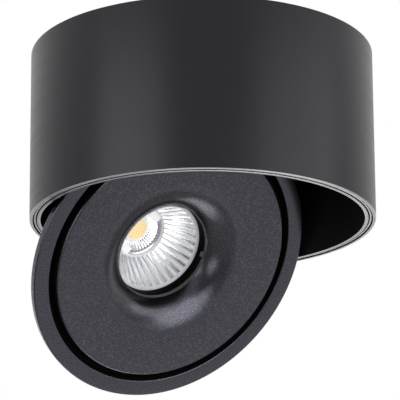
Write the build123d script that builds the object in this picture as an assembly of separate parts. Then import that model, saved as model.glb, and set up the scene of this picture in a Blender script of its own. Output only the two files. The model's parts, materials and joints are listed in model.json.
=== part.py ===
from build123d import *
import os
from math import cos, hypot, radians, sin, sqrt

# Surface-mounted drum downlight. A round spot head sits flush in the drum's mouth and pulls out on two
# quadrant plates, whose arc slots turn it about a line below the mouth. The cup that carries the head
# turns about the drum's axis. Millimetres and degrees. Pieces are drawn with the mouth rim at z = 0, +Z
# towards the ceiling, and the head flush; the head is then tilted to the pose that is kept as rest, and
# everything is lowered so that the origin lies on the ceiling.

# Drum and mouth
drum_d = 140.0
drum_wall = 1.3
rim_chamfer = 0.5
mouth_gap = 0.5
guide_wall = 0.75
guide_h = 14.0
guide_lip_h = 3.0
cup_wall = 1.45
rim_setback = 0.3

# Tilting head, seen from the front
head_gap = 3.4
bezel_w = 6.4
groove_w = 2.75
bezel_edge_h = 3.0
groove_depth = 5.0
bezel_web_t = 1.4
edge_break = 0.4
face_t = 2.0
face_flange_t = 1.5
funnel_w = 13.9
funnel_depth = 6.5

# Tilt: the arc slots are centred on this line below the mouth
tilt_shown = 52.0
tilt_axis_drop = 27.3

# Baffle tube and reflector
tube_bore_d = 40.2
tube_wall = 0.8
tube_length = 5.2
tube_setback = 0.9
tube_flange_w = 3.4
tube_flange_t = 1.0
tube_nib = (0.8, 2.2, 1.0)
tube_nib_angle = -6.0
reflector_rim_w = 1.0
reflector_depth = 14.4
reflector_wall = 1.2
reflector_flange_t = 1.0
neck_d = 22.0
flute_count = 36
flute_depth = 0.3
flute_levels = 4

# LED, its holder and the pad behind it
holder_d = 35.0
holder_t = 5.2
holder_bore_d = 21.0
holder_pad = (3.2, 6.0, 0.8)
holder_pad_angle = -56.0
neck_ring_wall = 0.5
neck_ring_taper = 3.6
board_w = 16.0
board_t = 1.0
phosphor_d = 10.0
phosphor_t = 0.15
dam_w = 1.0
dam_t = 0.25
thermal_pad_t = 0.3

# Heat sink
sink_wall = 1.8
sink_base_t = 3.4
sink_flange_t = 2.0
side_fin_count = 20
side_fin_t = 1.2
side_fin_h = 3.0
top_fin_count = 7
top_fin_t = 1.4
top_fin_pitch = 6.0
top_fin_h = 5.0
top_fin_flat = 0.45
ear_d = 7.0
ear_radius = 40.0
ear_angles = (60.0, 120.0, 240.0, 300.0)
lug_angles = (90.0, 210.0, 330.0)

# Quadrant plates, guide pins and brackets
slot_inner_r = 50.0
pin_angle = 76.0
pin_d = 4.0
pin_head_d = 7.2
pin_head_t = 1.8
pin_head_gap = 0.8
pin_tail_t = 1.2
pin_head_sides = 12
quadrant_x = 29.5
quadrant_t = 1.5
quadrant_edge_w = 2.2
quadrant_leg_y = (-16.0, 12.0)
quadrant_foot_w = 13.0
foot_margin = 1.0
quadrant_foot_t = 1.5
seat_pad_h = 4.5
seat_pad_d = 7.0
glide_washer_t = 0.8
bracket_t = 2.0
bracket_end_r = 4.0
bracket_top_y = (-4.0, 24.0)
bracket_foot_w = 12.0

# Cup, swivel and deck
cup_deck_t = 2.0
cup_deck_clear = 3.2
friction_washer_t = 0.9
friction_washer_d = 34.0
deck_t = 3.0
bush_d = 14.0
bush_bore_d = 9.0
bush_flange_d = 20.0
bush_flange_t = 1.8
disc_spring_d = 24.0
disc_spring_t = 0.8
disc_spring_h = 2.0
nut_flats = 22.0
nut_h = 6.0
thread_end = 1.5
stop_z = 39.5
stop_stud_d = 4.0
stop_tab_w = 4.0

# Gear side and ceiling plate
gear_space = 17.75
driver_size = (78.0, 34.0, 15.5)
driver_y = 33.0
driver_lid_h = 4.5
driver_shell = 1.6
driver_ear_l = 8.0
driver_ear_t = 2.4
terminal_size = (30.0, 17.0, 13.0)
terminal_y = -37.0
terminal_poles = 3
terminal_wire_d = 4.2
plate_t = 2.0
plate_flange_h = 10.0
plate_flange_t = 1.5
plate_slot_spacing = 80.0
plate_slot_l = 14.0
plate_slot_w = 4.6
grommet_bore_d = 8.0
grommet_neck_d = 16.0
grommet_flange_d = 21.0
grommet_flange_t = 1.8
grub_d = 4.0
grub_l = 5.0
grub_sides = 12
grub_angle = 142.7

# Fasteners: shank diameter, head diameter, head height
m3 = (3.0, 5.4, 2.0)
m25 = (2.5, 4.6, 1.6)
bezel_screw_l = 3.4
sink_screw_l = 6.0
holder_screw_l = 5.6
foot_screw_l = 4.5
bracket_screw_l = 3.6
driver_screw_l = 4.8
socket_share = 0.5
screw_sides = 6

# Clearances
fit_clear = 0.05
slip_clear = 0.1
slot_clear = 0.1
plate_clear = 0.25
hole_clear = 0.15
run_gap = 0.1
stop_clear = 0.4

# Worked-out radii of the mouth and the head
drum_r = drum_d / 2
drum_bore_r = drum_r - drum_wall
guide_r = drum_bore_r - mouth_gap
guide_bore_r = guide_r - guide_wall
cup_r = guide_bore_r - mouth_gap
cup_bore_r = cup_r - cup_wall
head_r = cup_bore_r - head_gap
bezel_bore_r = head_r - bezel_w
face_r = bezel_bore_r - groove_w
bezel_web_r = face_r - face_flange_t
lug_radius = bezel_web_r - m3[1] / 2 - foot_margin
tube_bore_r = tube_bore_d / 2
tube_r = tube_bore_r + tube_wall
funnel_r = tube_r + slip_clear
flare_r = funnel_r + funnel_w
sink_bore_r = tube_r + hole_clear * 2
sink_r = sink_bore_r + sink_wall
fin_r = sink_r + side_fin_h
bush_r = bush_d / 2 - fit_clear

# Worked-out levels behind the face, with the head flush
bezel_back_z = groove_depth + bezel_web_t
seat_z = face_t + seat_pad_h
funnel_back_z = funnel_depth + face_t
tube_front_z = funnel_depth + tube_setback
sink_front_z = funnel_back_z + tube_flange_t
reflector_z = tube_front_z + tube_length + hole_clear
neck_z = reflector_z + reflector_depth
holder_z = neck_z + hole_clear
sink_base_z = holder_z + holder_t
board_z = sink_base_z - thermal_pad_t - board_t
sink_back_z = sink_base_z + sink_base_t

# Worked-out levels of the cup, the decks and the ceiling
rim_sweep_r = hypot(head_r, tilt_axis_drop + bezel_edge_h)
sink_sweep_r = hypot(fin_r, tilt_axis_drop + sink_back_z) + edge_break
sweep_r = max(rim_sweep_r, sink_sweep_r)
cup_deck_z = sweep_r - tilt_axis_drop + cup_deck_clear
cup_top_z = cup_deck_z + cup_deck_t
deck_z = cup_top_z + friction_washer_t + run_gap
deck_top_z = deck_z + deck_t
plate_z = deck_top_z + gear_space
drum_h = plate_z + plate_t

# Worked-out places of the tilt gear
bracket_x = quadrant_x + quadrant_t + glide_washer_t + 2 * run_gap
slot_radii = (slot_inner_r, slot_inner_r + pin_head_d + pin_head_gap)
slot_w = pin_d + 2 * slot_clear
quadrant_mid_r = sum(slot_radii) / 2
quadrant_band_w = slot_radii[1] - slot_radii[0] + slot_w + 2 * quadrant_edge_w
tilt_centre = (0, -tilt_axis_drop)


def at_angle(radius, angle, centre=(0, 0)):
    """Point at a radius and angle about a centre, in a drawing plane."""
    return (centre[0] + radius * cos(radians(angle)), centre[1] + radius * sin(radians(angle)))


def ring(r_out, r_in, z_low, z_high):
    """Plain ring between two levels."""
    flat = Circle(r_out) - Circle(r_in)
    return extrude(Plane.XY.offset(z_low) * flat, z_high - z_low)


def disc(radius, z_low, z_high, place=(0, 0)):
    """Round plug between two levels."""
    return extrude(Plane.XY.offset(z_low) * (Pos(*place) * Circle(radius)), z_high - z_low)


def peg(radius, z_low, z_high, place, sides=screw_sides):
    """Upright prism with few sides, for bosses and screw holes."""
    flat = Pos(*place) * RegularPolygon(radius, sides)
    return extrude(Plane.XY.offset(z_low) * flat, z_high - z_low)


def block(x_range, y_range, z_range):
    """Box between three pairs of limits."""
    low = [min(x_range), min(y_range), min(z_range)]
    high = [max(x_range), max(y_range), max(z_range)]
    size = [b - a for a, b in zip(low, high)]
    return Pos(*low) * Box(*size, align=(Align.MIN, Align.MIN, Align.MIN))


def turned(*points):
    """Solid turned about Z from an outline of radius and height pairs."""
    return revolve(Plane.XZ * Polygon(*points, align=None), Axis.Z)


def screw(size, length):
    """Plain hexagon screw: its head stands on z = 0 and its shank runs down."""
    shank_d, head_d, head_h = size
    shank = extrude(RegularPolygon(shank_d / 2, screw_sides), -length)
    head = extrude(RegularPolygon(head_d / 2, screw_sides), head_h)
    return shank + head


def ear_places():
    """Places of the four ears that join the heat sink to the face plate."""
    return [at_angle(ear_radius, angle) for angle in ear_angles]


def lug_places():
    """Places of the lugs that join the bezel ring to the face plate."""
    radius = lug_radius
    return [at_angle(radius, angle) for angle in lug_angles]


def foot_places():
    """Places of the two screws in the right quadrant plate's foot."""
    x = quadrant_x + quadrant_t + quadrant_foot_w - seat_pad_d / 2 - foot_margin
    low, high = quadrant_leg_y
    inset = m3[1]
    return [(x, low + inset), (x, high - inset)]


def bracket_screw_places():
    """Places of the two screws in the right bracket's foot."""
    x = bracket_x + bracket_t + bracket_foot_w / 2
    low, high = bracket_top_y
    inset = m3[1]
    return [(x, low + inset), (x, high - inset)]


def dome_level(distance):
    """Highest level behind the face that clears the cup's deck, at a distance from the head's axis."""
    return sqrt(sweep_r**2 - distance**2) - tilt_axis_drop


# Fixed pieces in the drum


def make_housing_drum():
    """Drum with a bright chamfered rim and an inner deck with the swivel's hole."""
    shell = turned(
        (drum_bore_r, 0), (drum_r - rim_chamfer, 0), (drum_r, rim_chamfer), (drum_r, drum_h - edge_break),
        (drum_r - edge_break, drum_h), (drum_bore_r, drum_h), (drum_bore_r, deck_top_z),
        (bush_d / 2, deck_top_z), (bush_d / 2, deck_z), (drum_bore_r, deck_z))
    for angle in (grub_angle, grub_angle + 180):
        shell -= Rot(0, 0, angle) * grub_hole(drum_bore_r, drum_r, grub_d / 2 + hole_clear)
    for x, y in driver_screw_places():
        shell -= peg(m3[0] / 2 + fit_clear, deck_z, deck_top_z, (x, y))
    for x, y in terminal_screw_places():
        shell -= peg(m25[0] / 2 + fit_clear, deck_z, deck_top_z, (x, y))
    return shell


def grub_level():
    """Height of the set screws, halfway down the plate's flange."""
    return plate_z - plate_flange_h / 2


def grub_hole(r_start, r_end, radius):
    """Radial hole along +X at the height of the set screws."""
    margin = plate_flange_t
    start = Plane(origin=(r_start - margin, 0, grub_level()), z_dir=(1, 0, 0))
    return extrude(start * RegularPolygon(radius, grub_sides), r_end - r_start + 2 * margin)


def make_grub_screws():
    """Two set screws with hex sockets, flush with the drum."""
    outer_r = drum_r - edge_break
    start = Plane(origin=(outer_r - grub_l, 0, grub_level()), z_dir=(1, 0, 0))
    face = Plane(origin=(outer_r, 0, grub_level()), z_dir=(1, 0, 0))
    one = extrude(start * RegularPolygon(grub_d / 2, grub_sides), grub_l)
    one -= extrude(face * RegularPolygon(grub_d * 0.3, screw_sides), -grub_l * socket_share)
    return [Rot(0, 0, angle) * one for angle in (grub_angle, grub_angle + 180)]


def make_mounting_plate():
    """Pressed dish with two ceiling slots, a cable hole and a flange for the set screws."""
    r_out = drum_bore_r - plate_clear
    r_in = r_out - plate_flange_t
    dish = turned(
        (0, plate_z), (r_in, plate_z), (r_in, plate_z - plate_flange_h), (r_out, plate_z - plate_flange_h),
        (r_out, drum_h), (0, drum_h))
    slot = Plane.XY.offset(plate_z) * SlotOverall(plate_slot_l, plate_slot_w)
    for side in (-1, 1):
        dish -= Pos(side * plate_slot_spacing / 2, 0, 0) * extrude(slot, plate_t)
    dish -= disc(grommet_neck_d / 2, plate_z, drum_h)
    for angle in (grub_angle, grub_angle + 180):
        dish -= Rot(0, 0, angle) * grub_hole(r_in, r_out, grub_d / 2 + fit_clear)
    return dish


def make_cable_grommet():
    """Rubber grommet, flush with the ceiling side of the plate."""
    bore_r = grommet_bore_d / 2
    neck_r = grommet_neck_d / 2 - fit_clear
    flange_r = grommet_flange_d / 2
    low = plate_z - grommet_flange_t
    return turned((bore_r, low), (flange_r, low), (flange_r, plate_z), (neck_r, plate_z), (neck_r, drum_h),
                  (bore_r, drum_h))


def driver_screw_places():
    """Places of the two screws in the driver's ears."""
    x = driver_size[0] / 2 + driver_ear_l / 2
    return [(-x, driver_y), (x, driver_y)]


def driver_block(inset, z_low, z_high):
    """Block of the driver's outline, drawn in by an inset."""
    half_l = driver_size[0] / 2 - inset
    half_w = driver_size[1] / 2 - inset
    return block((-half_l, half_l), (driver_y - half_w, driver_y + half_w), (z_low, z_high))


def make_driver_case():
    """Driver's tray with two screw ears."""
    tray_top = deck_top_z + driver_size[2] - driver_lid_h
    outer = driver_block(0, deck_top_z, tray_top)
    hollow = driver_block(driver_shell, deck_top_z + driver_shell, tray_top)
    ear_w = m3[1] + 2 * driver_shell
    half = driver_size[0] / 2 + driver_ear_l
    ears = block((-half, half), (driver_y - ear_w / 2, driver_y + ear_w / 2),
                 (deck_top_z, deck_top_z + driver_ear_t))
    case = chamfer(outer.edges().filter_by(Axis.Z), driver_shell) + ears - hollow
    for place in driver_screw_places():
        case -= peg(m3[0] / 2 + hole_clear, deck_top_z, deck_top_z + driver_ear_t, place)
    return case


def make_driver_cover():
    """Driver's lid with a lip inside the tray."""
    lid_top = deck_top_z + driver_size[2]
    lid_z = lid_top - driver_lid_h
    lip_z = lid_z - driver_shell
    lid = driver_block(0, lid_z, lid_top)
    lip_inset = driver_shell + slip_clear
    lip = driver_block(lip_inset, lip_z, lid_z)
    hollow = driver_block(lip_inset + driver_shell, lip_z, lid_top - driver_shell)
    return chamfer(lid.edges().filter_by(Axis.Z), driver_shell) + lip - hollow


def make_driver_screws():
    """Two screws through the driver's ears into the deck."""
    one = screw(m3, driver_screw_l)
    level = deck_top_z + driver_ear_t
    return [Pos(x, y, level) * one for x, y in driver_screw_places()]


def terminal_pole_places():
    """Places of the terminal's poles along X."""
    pitch = terminal_size[0] / terminal_poles
    return [(pitch * (i - (terminal_poles - 1) / 2), terminal_y) for i in range(terminal_poles)]


def terminal_screw_places():
    """Places of the fixing screws beside the terminal."""
    x = terminal_size[0] / 2 + m25[1] / 2 + driver_shell
    return [(-x, terminal_y), (x, terminal_y)]


def make_terminal_block():
    """Terminal block with wire ways, screw wells and two fixing lugs."""
    length, width, height = terminal_size
    body = block((-length / 2, length / 2), (terminal_y - width / 2, terminal_y + width / 2),
                 (deck_top_z, deck_top_z + height))
    top_edges = body.edges().group_by(Axis.Z)[-1]
    body = chamfer(top_edges, driver_shell)
    lug_x = terminal_screw_places()[1][0] + m25[1] / 2
    body += block((-lug_x, lug_x), (terminal_y - m25[1] / 2, terminal_y + m25[1] / 2),
                  (deck_top_z, deck_top_z + driver_ear_t))
    wire_level = deck_top_z + height * 0.4
    way_half = terminal_wire_d / 2
    well_half = m25[1] / 2 + hole_clear
    for x, y in terminal_pole_places():
        body -= block((x - way_half, x + way_half), (y - width / 2, y + width / 2),
                      (wire_level - way_half, wire_level + way_half))
        body -= block((x - well_half, x + well_half), (y - well_half, y + well_half),
                      (wire_level, deck_top_z + height))
    for place in terminal_screw_places():
        body -= peg(m25[0] / 2 + hole_clear, deck_top_z, deck_top_z + driver_ear_t, place)
    return body


def make_terminal_screws():
    """Clamp screws in the wells and the two fixing screws."""
    clamp = screw(m25, m25[0] / 2)
    fixing = screw(m25, driver_screw_l)
    clamp_level = deck_top_z + terminal_size[2] * 0.4 + terminal_wire_d / 2
    screws = [Pos(x, y, clamp_level) * clamp for x, y in terminal_pole_places()]
    fixing_level = deck_top_z + driver_ear_t
    screws += [Pos(x, y, fixing_level) * fixing for x, y in terminal_screw_places()]
    return screws


def make_guide_ring():
    """Ring in the drum's mouth: a thin free lip below a wider seat."""
    seat_r = drum_bore_r - slip_clear
    return turned((guide_bore_r, rim_setback), (guide_r, rim_setback), (guide_r, guide_lip_h),
                  (seat_r, guide_lip_h + mouth_gap), (seat_r, guide_h), (guide_bore_r, guide_h))


def make_stop_stud():
    """Stud inside the drum wall, at the back."""
    tip_r = cup_r + stop_clear
    start = Plane(origin=(0, tip_r, stop_z), z_dir=(0, 1, 0))
    return extrude(start * RegularPolygon(stop_stud_d / 2, grub_sides), drum_bore_r - slip_clear - tip_r)


# Pieces that turn about the drum's axis


def make_turntable_cup():
    """Spun cup with a deck, the swivel's hole and a stop tab at the front."""
    cup = turned(
        (cup_bore_r, rim_setback), (cup_r, rim_setback), (cup_r, cup_top_z), (bush_d / 2, cup_top_z),
        (bush_d / 2, cup_deck_z), (cup_bore_r, cup_deck_z))
    tab_h = stop_stud_d
    tab_r = drum_bore_r - stop_clear
    tab = block((-stop_tab_w / 2, stop_tab_w / 2), (-tab_r, -cup_r + cup_wall / 2),
                (stop_z - tab_h / 2, stop_z + tab_h / 2))
    cup += tab & ring(tab_r, cup_bore_r, stop_z - tab_h, stop_z + tab_h)
    for x, y in bracket_screw_places():
        for side in (-1, 1):
            cup -= peg(m3[0] / 2 + fit_clear, cup_deck_z, cup_top_z, (side * x, y))
    return cup


def swivel_levels():
    """Levels of the nut's seat and of the bush's upper end."""
    seat = deck_top_z + disc_spring_h + 2 * run_gap
    return seat, seat + nut_h + thread_end


def make_swivel_bush():
    """Hollow bush with a hexagon flange, which hangs the cup from the deck and lets the leads through."""
    bore_r = bush_bore_d / 2
    flange = RegularPolygon(bush_flange_d / 2, 6) - Circle(bore_r)
    bush = ring(bush_r, bore_r, cup_deck_z, swivel_levels()[1])
    return bush + extrude(Plane.XY.offset(cup_deck_z) * flange, -bush_flange_t)


def make_swivel_nut():
    """Hexagon nut on the bush."""
    seat = swivel_levels()[0]
    outline = RegularPolygon(nut_flats / 2, 6, major_radius=False) - Circle(bush_d / 2)
    return extrude(Plane.XY.offset(seat) * outline, nut_h)


def make_disc_spring():
    """Conical spring washer between the deck and the nut."""
    r_in = bush_d / 2 + hole_clear
    r_out = disc_spring_d / 2
    low = deck_top_z + run_gap
    high = low + disc_spring_h
    return turned((r_out, low), (r_out, low + disc_spring_t), (r_in, high), (r_in, high - disc_spring_t))


def make_friction_washer():
    """Flat washer on the cup, under the deck."""
    return ring(friction_washer_d / 2, bush_d / 2 + hole_clear, cup_top_z, cup_top_z + friction_washer_t)


def make_tilt_bracket():
    """Right-hand bracket: a plate that holds two guide pins and a foot under the cup's deck."""
    lowest = at_angle(slot_radii[0], pin_angle, tilt_centre)
    low_y, high_y = bracket_top_y
    corner = bracket_end_r
    corners = [(low_y + corner, cup_deck_z - corner), (high_y - corner, cup_deck_z - corner)]
    rounds = [Pos(*place) * Circle(bracket_end_r) for place in [lowest] + corners]
    outline = make_hull([edge for shape in rounds for edge in shape.edges()])
    plate = extrude(Plane.YZ.offset(bracket_x) * outline, bracket_t)
    foot = block((bracket_x, bracket_x + bracket_t + bracket_foot_w), bracket_top_y,
                 (cup_deck_z - bracket_t, cup_deck_z))
    bracket = plate + foot
    for place in pin_places():
        bracket -= extrude(Plane.YZ.offset(bracket_x) * (Pos(*place) * pin_bore()), bracket_t)
    for place in bracket_screw_places():
        bracket -= peg(m3[0] / 2 + hole_clear, cup_deck_z - bracket_t, cup_deck_z, place)
    return bracket


def pin_places():
    """Places of the two guide pins, in the plane of the right bracket."""
    return [at_angle(radius, pin_angle, tilt_centre) for radius in slot_radii]


def pin_bore():
    """Outline of a hole round a pin, whose flats clear the pin."""
    return RegularPolygon(pin_d / 2 + fit_clear, pin_head_sides, major_radius=False)


def make_guide_pins():
    """Riveted shoulder pins: two on each side."""
    head_x = quadrant_x - run_gap
    tail_x = bracket_x + bracket_t
    shank_r = pin_d / 2
    tail_r = (shank_r + pin_head_d / 2) / 2
    upright = disc(shank_r, head_x, tail_x)
    upright += extrude(Plane.XY.offset(head_x) * RegularPolygon(pin_head_d / 2, pin_head_sides), -pin_head_t)
    upright += extrude(Plane.XY.offset(tail_x) * RegularPolygon(tail_r, pin_head_sides), pin_tail_t)
    lying = Rot(0, 90, 0) * upright
    right = [Pos(0, y, z) * lying for y, z in pin_places()]
    return right + [mirror(pin, Plane.YZ) for pin in right]


def make_glide_washers():
    """Nylon washers on the pins, between quadrant plate and bracket."""
    flat = RegularPolygon(pin_head_d / 2, pin_head_sides) - pin_bore()
    start = Plane.YZ.offset(bracket_x - run_gap - glide_washer_t)
    right = [extrude(start * (Pos(*place) * flat), glide_washer_t) for place in pin_places()]
    return right + [mirror(washer, Plane.YZ) for washer in right]


def make_bracket_screws():
    """Screws from below through the brackets' feet into the cup's deck."""
    one = Rot(180, 0, 0) * screw(m3, bracket_screw_l)
    level = cup_deck_z - bracket_t
    right = [Pos(x, y, level) * one for x, y in bracket_screw_places()]
    left = [Pos(-x, y, level) * one for x, y in bracket_screw_places()]
    return right + left


# Pieces of the tilting head


def make_bezel_ring():
    """Outer ring: front face, tapered back and a web with lugs behind the groove."""
    taper_r = head_r - (bezel_back_z - bezel_edge_h)
    body = turned(
        (bezel_bore_r, edge_break), (bezel_bore_r + edge_break, 0), (head_r - edge_break, 0),
        (head_r, edge_break), (head_r, bezel_edge_h), (taper_r, bezel_back_z), (bezel_web_r, bezel_back_z),
        (bezel_web_r, groove_depth), (bezel_bore_r, groove_depth))
    lug_half = m3[1] / 2 + edge_break
    lug = block((lug_radius - lug_half, bezel_web_r + foot_margin), (-lug_half, lug_half),
                (groove_depth, bezel_back_z))
    for angle in lug_angles:
        body += Rot(0, 0, angle) * lug
    for place in lug_places():
        body -= peg(m3[0] / 2 + hole_clear, groove_depth, bezel_back_z, place)
    return body


def make_bezel_screws():
    """Screws through the bezel's lugs into the face plate."""
    one = screw(m3, bezel_screw_l)
    return [Pos(x, y, bezel_back_z) * one for x, y in lug_places()]


def make_face_plate():
    """Cast disc with a turned-back edge, a mouth that flares in one arc, and screw bosses behind."""
    flare = TangentArc((flare_r, 0), (funnel_r, funnel_depth), tangent=(-1, 0))
    middle = flare @ 0.5
    flange_r = face_r - face_flange_t
    outline = Polyline((flare_r, 0), (face_r - edge_break, 0), (face_r, edge_break), (face_r, groove_depth),
                       (flange_r, groove_depth), (flange_r, face_t), (flare_r + face_t / 2, face_t),
                       (middle.X + face_t / 2, middle.Y + face_t), (funnel_r + face_t, funnel_back_z),
                       (funnel_r, funnel_back_z), (funnel_r, funnel_depth))
    plate = revolve(Plane.XZ * make_face([flare, outline]), Axis.Z)
    for x, y in lug_places():
        plate += peg(m3[1] / 2, face_t / 2, groove_depth, (x, y))
        plate -= peg(m3[0] / 2 + fit_clear, face_t, groove_depth, (x, y))
    sink_hole_z = sink_front_z + sink_flange_t - sink_screw_l - hole_clear
    for place in ear_places():
        plate += peg(ear_d / 2, face_t / 2, sink_front_z, place)
        plate -= peg(m3[0] / 2 + fit_clear, sink_hole_z, sink_front_z, place)
    foot_hole_z = seat_z + quadrant_foot_t - foot_screw_l - hole_clear
    for x, y in foot_places():
        for side in (-1, 1):
            plate += peg(seat_pad_d / 2, face_t / 2, seat_z, (side * x, y))
            plate -= peg(m3[0] / 2 + fit_clear, foot_hole_z, seat_z, (side * x, y))
    return plate


def make_baffle_tube():
    """Thin lip, set back behind the flare, and recess wall in front of the reflector, with one nib."""
    flange_r = tube_r + tube_flange_w
    tube = turned(
        (tube_bore_r, tube_front_z), (tube_r, tube_front_z), (tube_r, funnel_back_z),
        (flange_r, funnel_back_z), (flange_r, sink_front_z), (tube_r, sink_front_z),
        (tube_r, tube_front_z + tube_length), (tube_bore_r, tube_front_z + tube_length))
    depth, width, height = tube_nib
    nib = block((tube_bore_r - depth, tube_bore_r + tube_wall / 2), (-width / 2, width / 2),
                (tube_front_z, tube_front_z + height))
    return tube + Rot(0, 0, tube_nib_angle) * nib


def reflector_radius(share):
    """Radius of the bowl at a share of its depth, from rim to neck: a parabola."""
    rim = tube_bore_r - reflector_rim_w
    neck = neck_d / 2
    return sqrt(neck**2 + (rim**2 - neck**2) * (1 - share))


def fluted_outline(radius):
    """Star outline with one valley and one ridge for each flute."""
    step = 180 / flute_count
    radii = (radius, radius - flute_depth)
    return Polygon(*[at_angle(radii[i % 2], i * step) for i in range(2 * flute_count)], align=None)


def make_reflector():
    """Fluted bowl with a plain rim flange."""
    levels = [i / flute_levels for i in range(flute_levels + 1)]
    inner = [(reflector_radius(s), reflector_z + reflector_depth * s) for s in levels]
    outer = [(r + reflector_wall, z) for r, z in (inner[0], inner[flute_levels // 2], inner[-1])]
    flange_r = sink_bore_r - hole_clear
    flange_z = reflector_z + reflector_flange_t
    body = turned((0, reflector_z), *outer, (0, neck_z))
    body += disc(flange_r, reflector_z, flange_z)
    body = body & disc(flange_r, reflector_z, neck_z)
    sections = [Plane.XY.offset(z) * fluted_outline(r) for r, z in inner]
    return body - loft(sections, ruled=True)


def make_cob_holder():
    """White holder that clamps the LED board, with two pads that reach into the neck."""
    bore_r = holder_bore_d / 2
    pad_l, pad_w, pad_t = holder_pad
    holder = ring(holder_d / 2, bore_r, holder_z, sink_base_z)
    pocket_w = board_w + 2 * slip_clear
    pocket = extrude(Plane.XY.offset(board_z - slip_clear) * Rectangle(pocket_w, pocket_w), holder_t)
    holder -= pocket
    pad = block((bore_r - pad_l, bore_r + pad_t), (-pad_w / 2, pad_w / 2), (holder_z, holder_z + pad_t))
    for angle in (holder_pad_angle, holder_pad_angle + 180):
        holder += Rot(0, 0, angle) * pad
    for place in holder_screw_places():
        holder -= peg(m25[0] / 2 + hole_clear, holder_z, sink_base_z, place)
        holder -= peg(m25[1] / 2 + hole_clear, holder_z, holder_z + m25[2] + hole_clear, place)
    return holder


def holder_screw_places():
    """Places of the two holder screws, a quarter turn from the pads."""
    radius = (holder_d / 2 + holder_bore_d / 2) / 2
    return [at_angle(radius, holder_pad_angle + turn) for turn in (90, 270)]


def make_holder_screws():
    """Sunk screws through the holder into the heat sink."""
    one = Rot(180, 0, 0) * screw(m25, holder_screw_l)
    level = holder_z + m25[2] + hole_clear
    return [Pos(x, y, level) * one for x, y in holder_screw_places()]


def make_neck_ring():
    """Small bright cone between the holder's pads and the LED board."""
    r_out = holder_bore_d / 2 - slip_clear
    front = holder_z + holder_pad[2] + slip_clear
    back = board_z - slip_clear
    inner = r_out - neck_ring_wall
    return turned((inner, front), (r_out, front), (r_out, back), (inner - neck_ring_taper, back))


def make_cob_board():
    """Square carrier board of the LED."""
    return extrude(Plane.XY.offset(board_z) * Rectangle(board_w, board_w), board_t)


def make_cob_phosphor():
    """Round yellow light-giving patch."""
    return disc(phosphor_d / 2, board_z - phosphor_t, board_z)


def make_cob_dam():
    """White dam round the patch."""
    bore_r = phosphor_d / 2 + fit_clear
    return ring(bore_r + dam_w, bore_r, board_z - dam_t, board_z)


def make_thermal_pad():
    """Thermal pad between the board and the heat sink."""
    return extrude(Plane.XY.offset(board_z + board_t) * Rectangle(board_w, board_w), thermal_pad_t)


def make_top_fin(x):
    """One fin across the heat sink's back, with sloped ends under the dome that the head sweeps."""
    edge = abs(x) + top_fin_t / 2
    half = sqrt(sink_r**2 - edge**2)
    flat = half * top_fin_flat
    top = min(sink_back_z + top_fin_h, dome_level(hypot(edge, flat)))
    end = dome_level(sink_r)
    low = sink_back_z - edge_break
    outline = Polygon((-half, low), (-half, end), (-flat, top), (flat, top), (half, end), (half, low), align=None)
    return extrude(Plane.YZ.offset(x - top_fin_t / 2) * outline, top_fin_t)


def make_heat_sink():
    """Finned cup round the reflector, whose back fins clear the cup's deck."""
    fin_z = sink_front_z + sink_flange_t
    cup = turned(
        (sink_bore_r, sink_front_z), (fin_r, sink_front_z), (fin_r, fin_z), (sink_r, fin_z),
        (sink_r, sink_back_z), (0, sink_back_z), (0, sink_base_z), (sink_bore_r, sink_base_z))
    fin = block((sink_r - edge_break, fin_r), (-side_fin_t / 2, side_fin_t / 2), (fin_z, sink_back_z))
    for i in range(side_fin_count):
        cup += Rot(0, 0, i * 360 / side_fin_count) * fin
    for i in range(top_fin_count):
        cup += make_top_fin(top_fin_pitch * (i - (top_fin_count - 1) / 2))
    ear = block((sink_r, ear_radius + ear_d / 2), (-ear_d / 2, ear_d / 2), (sink_front_z, fin_z))
    for angle in ear_angles:
        cup += Rot(0, 0, angle) * ear
    for place in ear_places():
        cup -= peg(m3[0] / 2 + hole_clear, sink_front_z, fin_z, place)
    for place in holder_screw_places():
        depth = holder_screw_l + m25[2] + hole_clear - holder_t + hole_clear
        cup -= peg(m25[0] / 2 + fit_clear, sink_base_z, sink_base_z + depth, place)
    return cup


def make_sink_screws():
    """Screws through the heat sink's ears into the face plate."""
    one = screw(m3, sink_screw_l)
    level = sink_front_z + sink_flange_t
    return [Pos(x, y, level) * one for x, y in ear_places()]


def make_quadrant():
    """Right-hand quadrant plate: a band with two arc slots on a leg with a foot."""
    band = SlotArc(CenterArc(tilt_centre, quadrant_mid_r, pin_angle, tilt_shown), quadrant_band_w)
    low_y, high_y = quadrant_leg_y
    leg_top = quadrant_mid_r - tilt_axis_drop - quadrant_band_w / 4
    leg = Polygon((low_y, seat_z), (high_y, seat_z), (high_y, leg_top), (low_y, leg_top), align=None)
    outline = band + leg
    for radius in slot_radii:
        outline -= SlotArc(CenterArc(tilt_centre, radius, pin_angle, tilt_shown), slot_w)
    plate = extrude(Plane.YZ.offset(quadrant_x) * outline, quadrant_t)
    foot = block((quadrant_x, quadrant_x + quadrant_t + quadrant_foot_w), quadrant_leg_y,
                 (seat_z, seat_z + quadrant_foot_t))
    plate += foot
    for place in foot_places():
        plate -= peg(m3[0] / 2 + hole_clear, seat_z, seat_z + quadrant_foot_t, place)
    return plate


def make_quadrant_screws():
    """Screws through the quadrant plates' feet into the face plate."""
    one = screw(m3, foot_screw_l)
    level = seat_z + quadrant_foot_t
    right = [Pos(x, y, level) * one for x, y in foot_places()]
    left = [Pos(-x, y, level) * one for x, y in foot_places()]
    return right + left


def lowered(shape):
    """Shape with the ceiling at z = 0."""
    return Pos(0, 0, -drum_h) * shape


def tilted(shape):
    """Head piece turned from flush to the pose that is kept as rest."""
    return shape.rotate(Axis((0, 0, -tilt_axis_drop), (1, 0, 0)), -tilt_shown)


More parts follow.
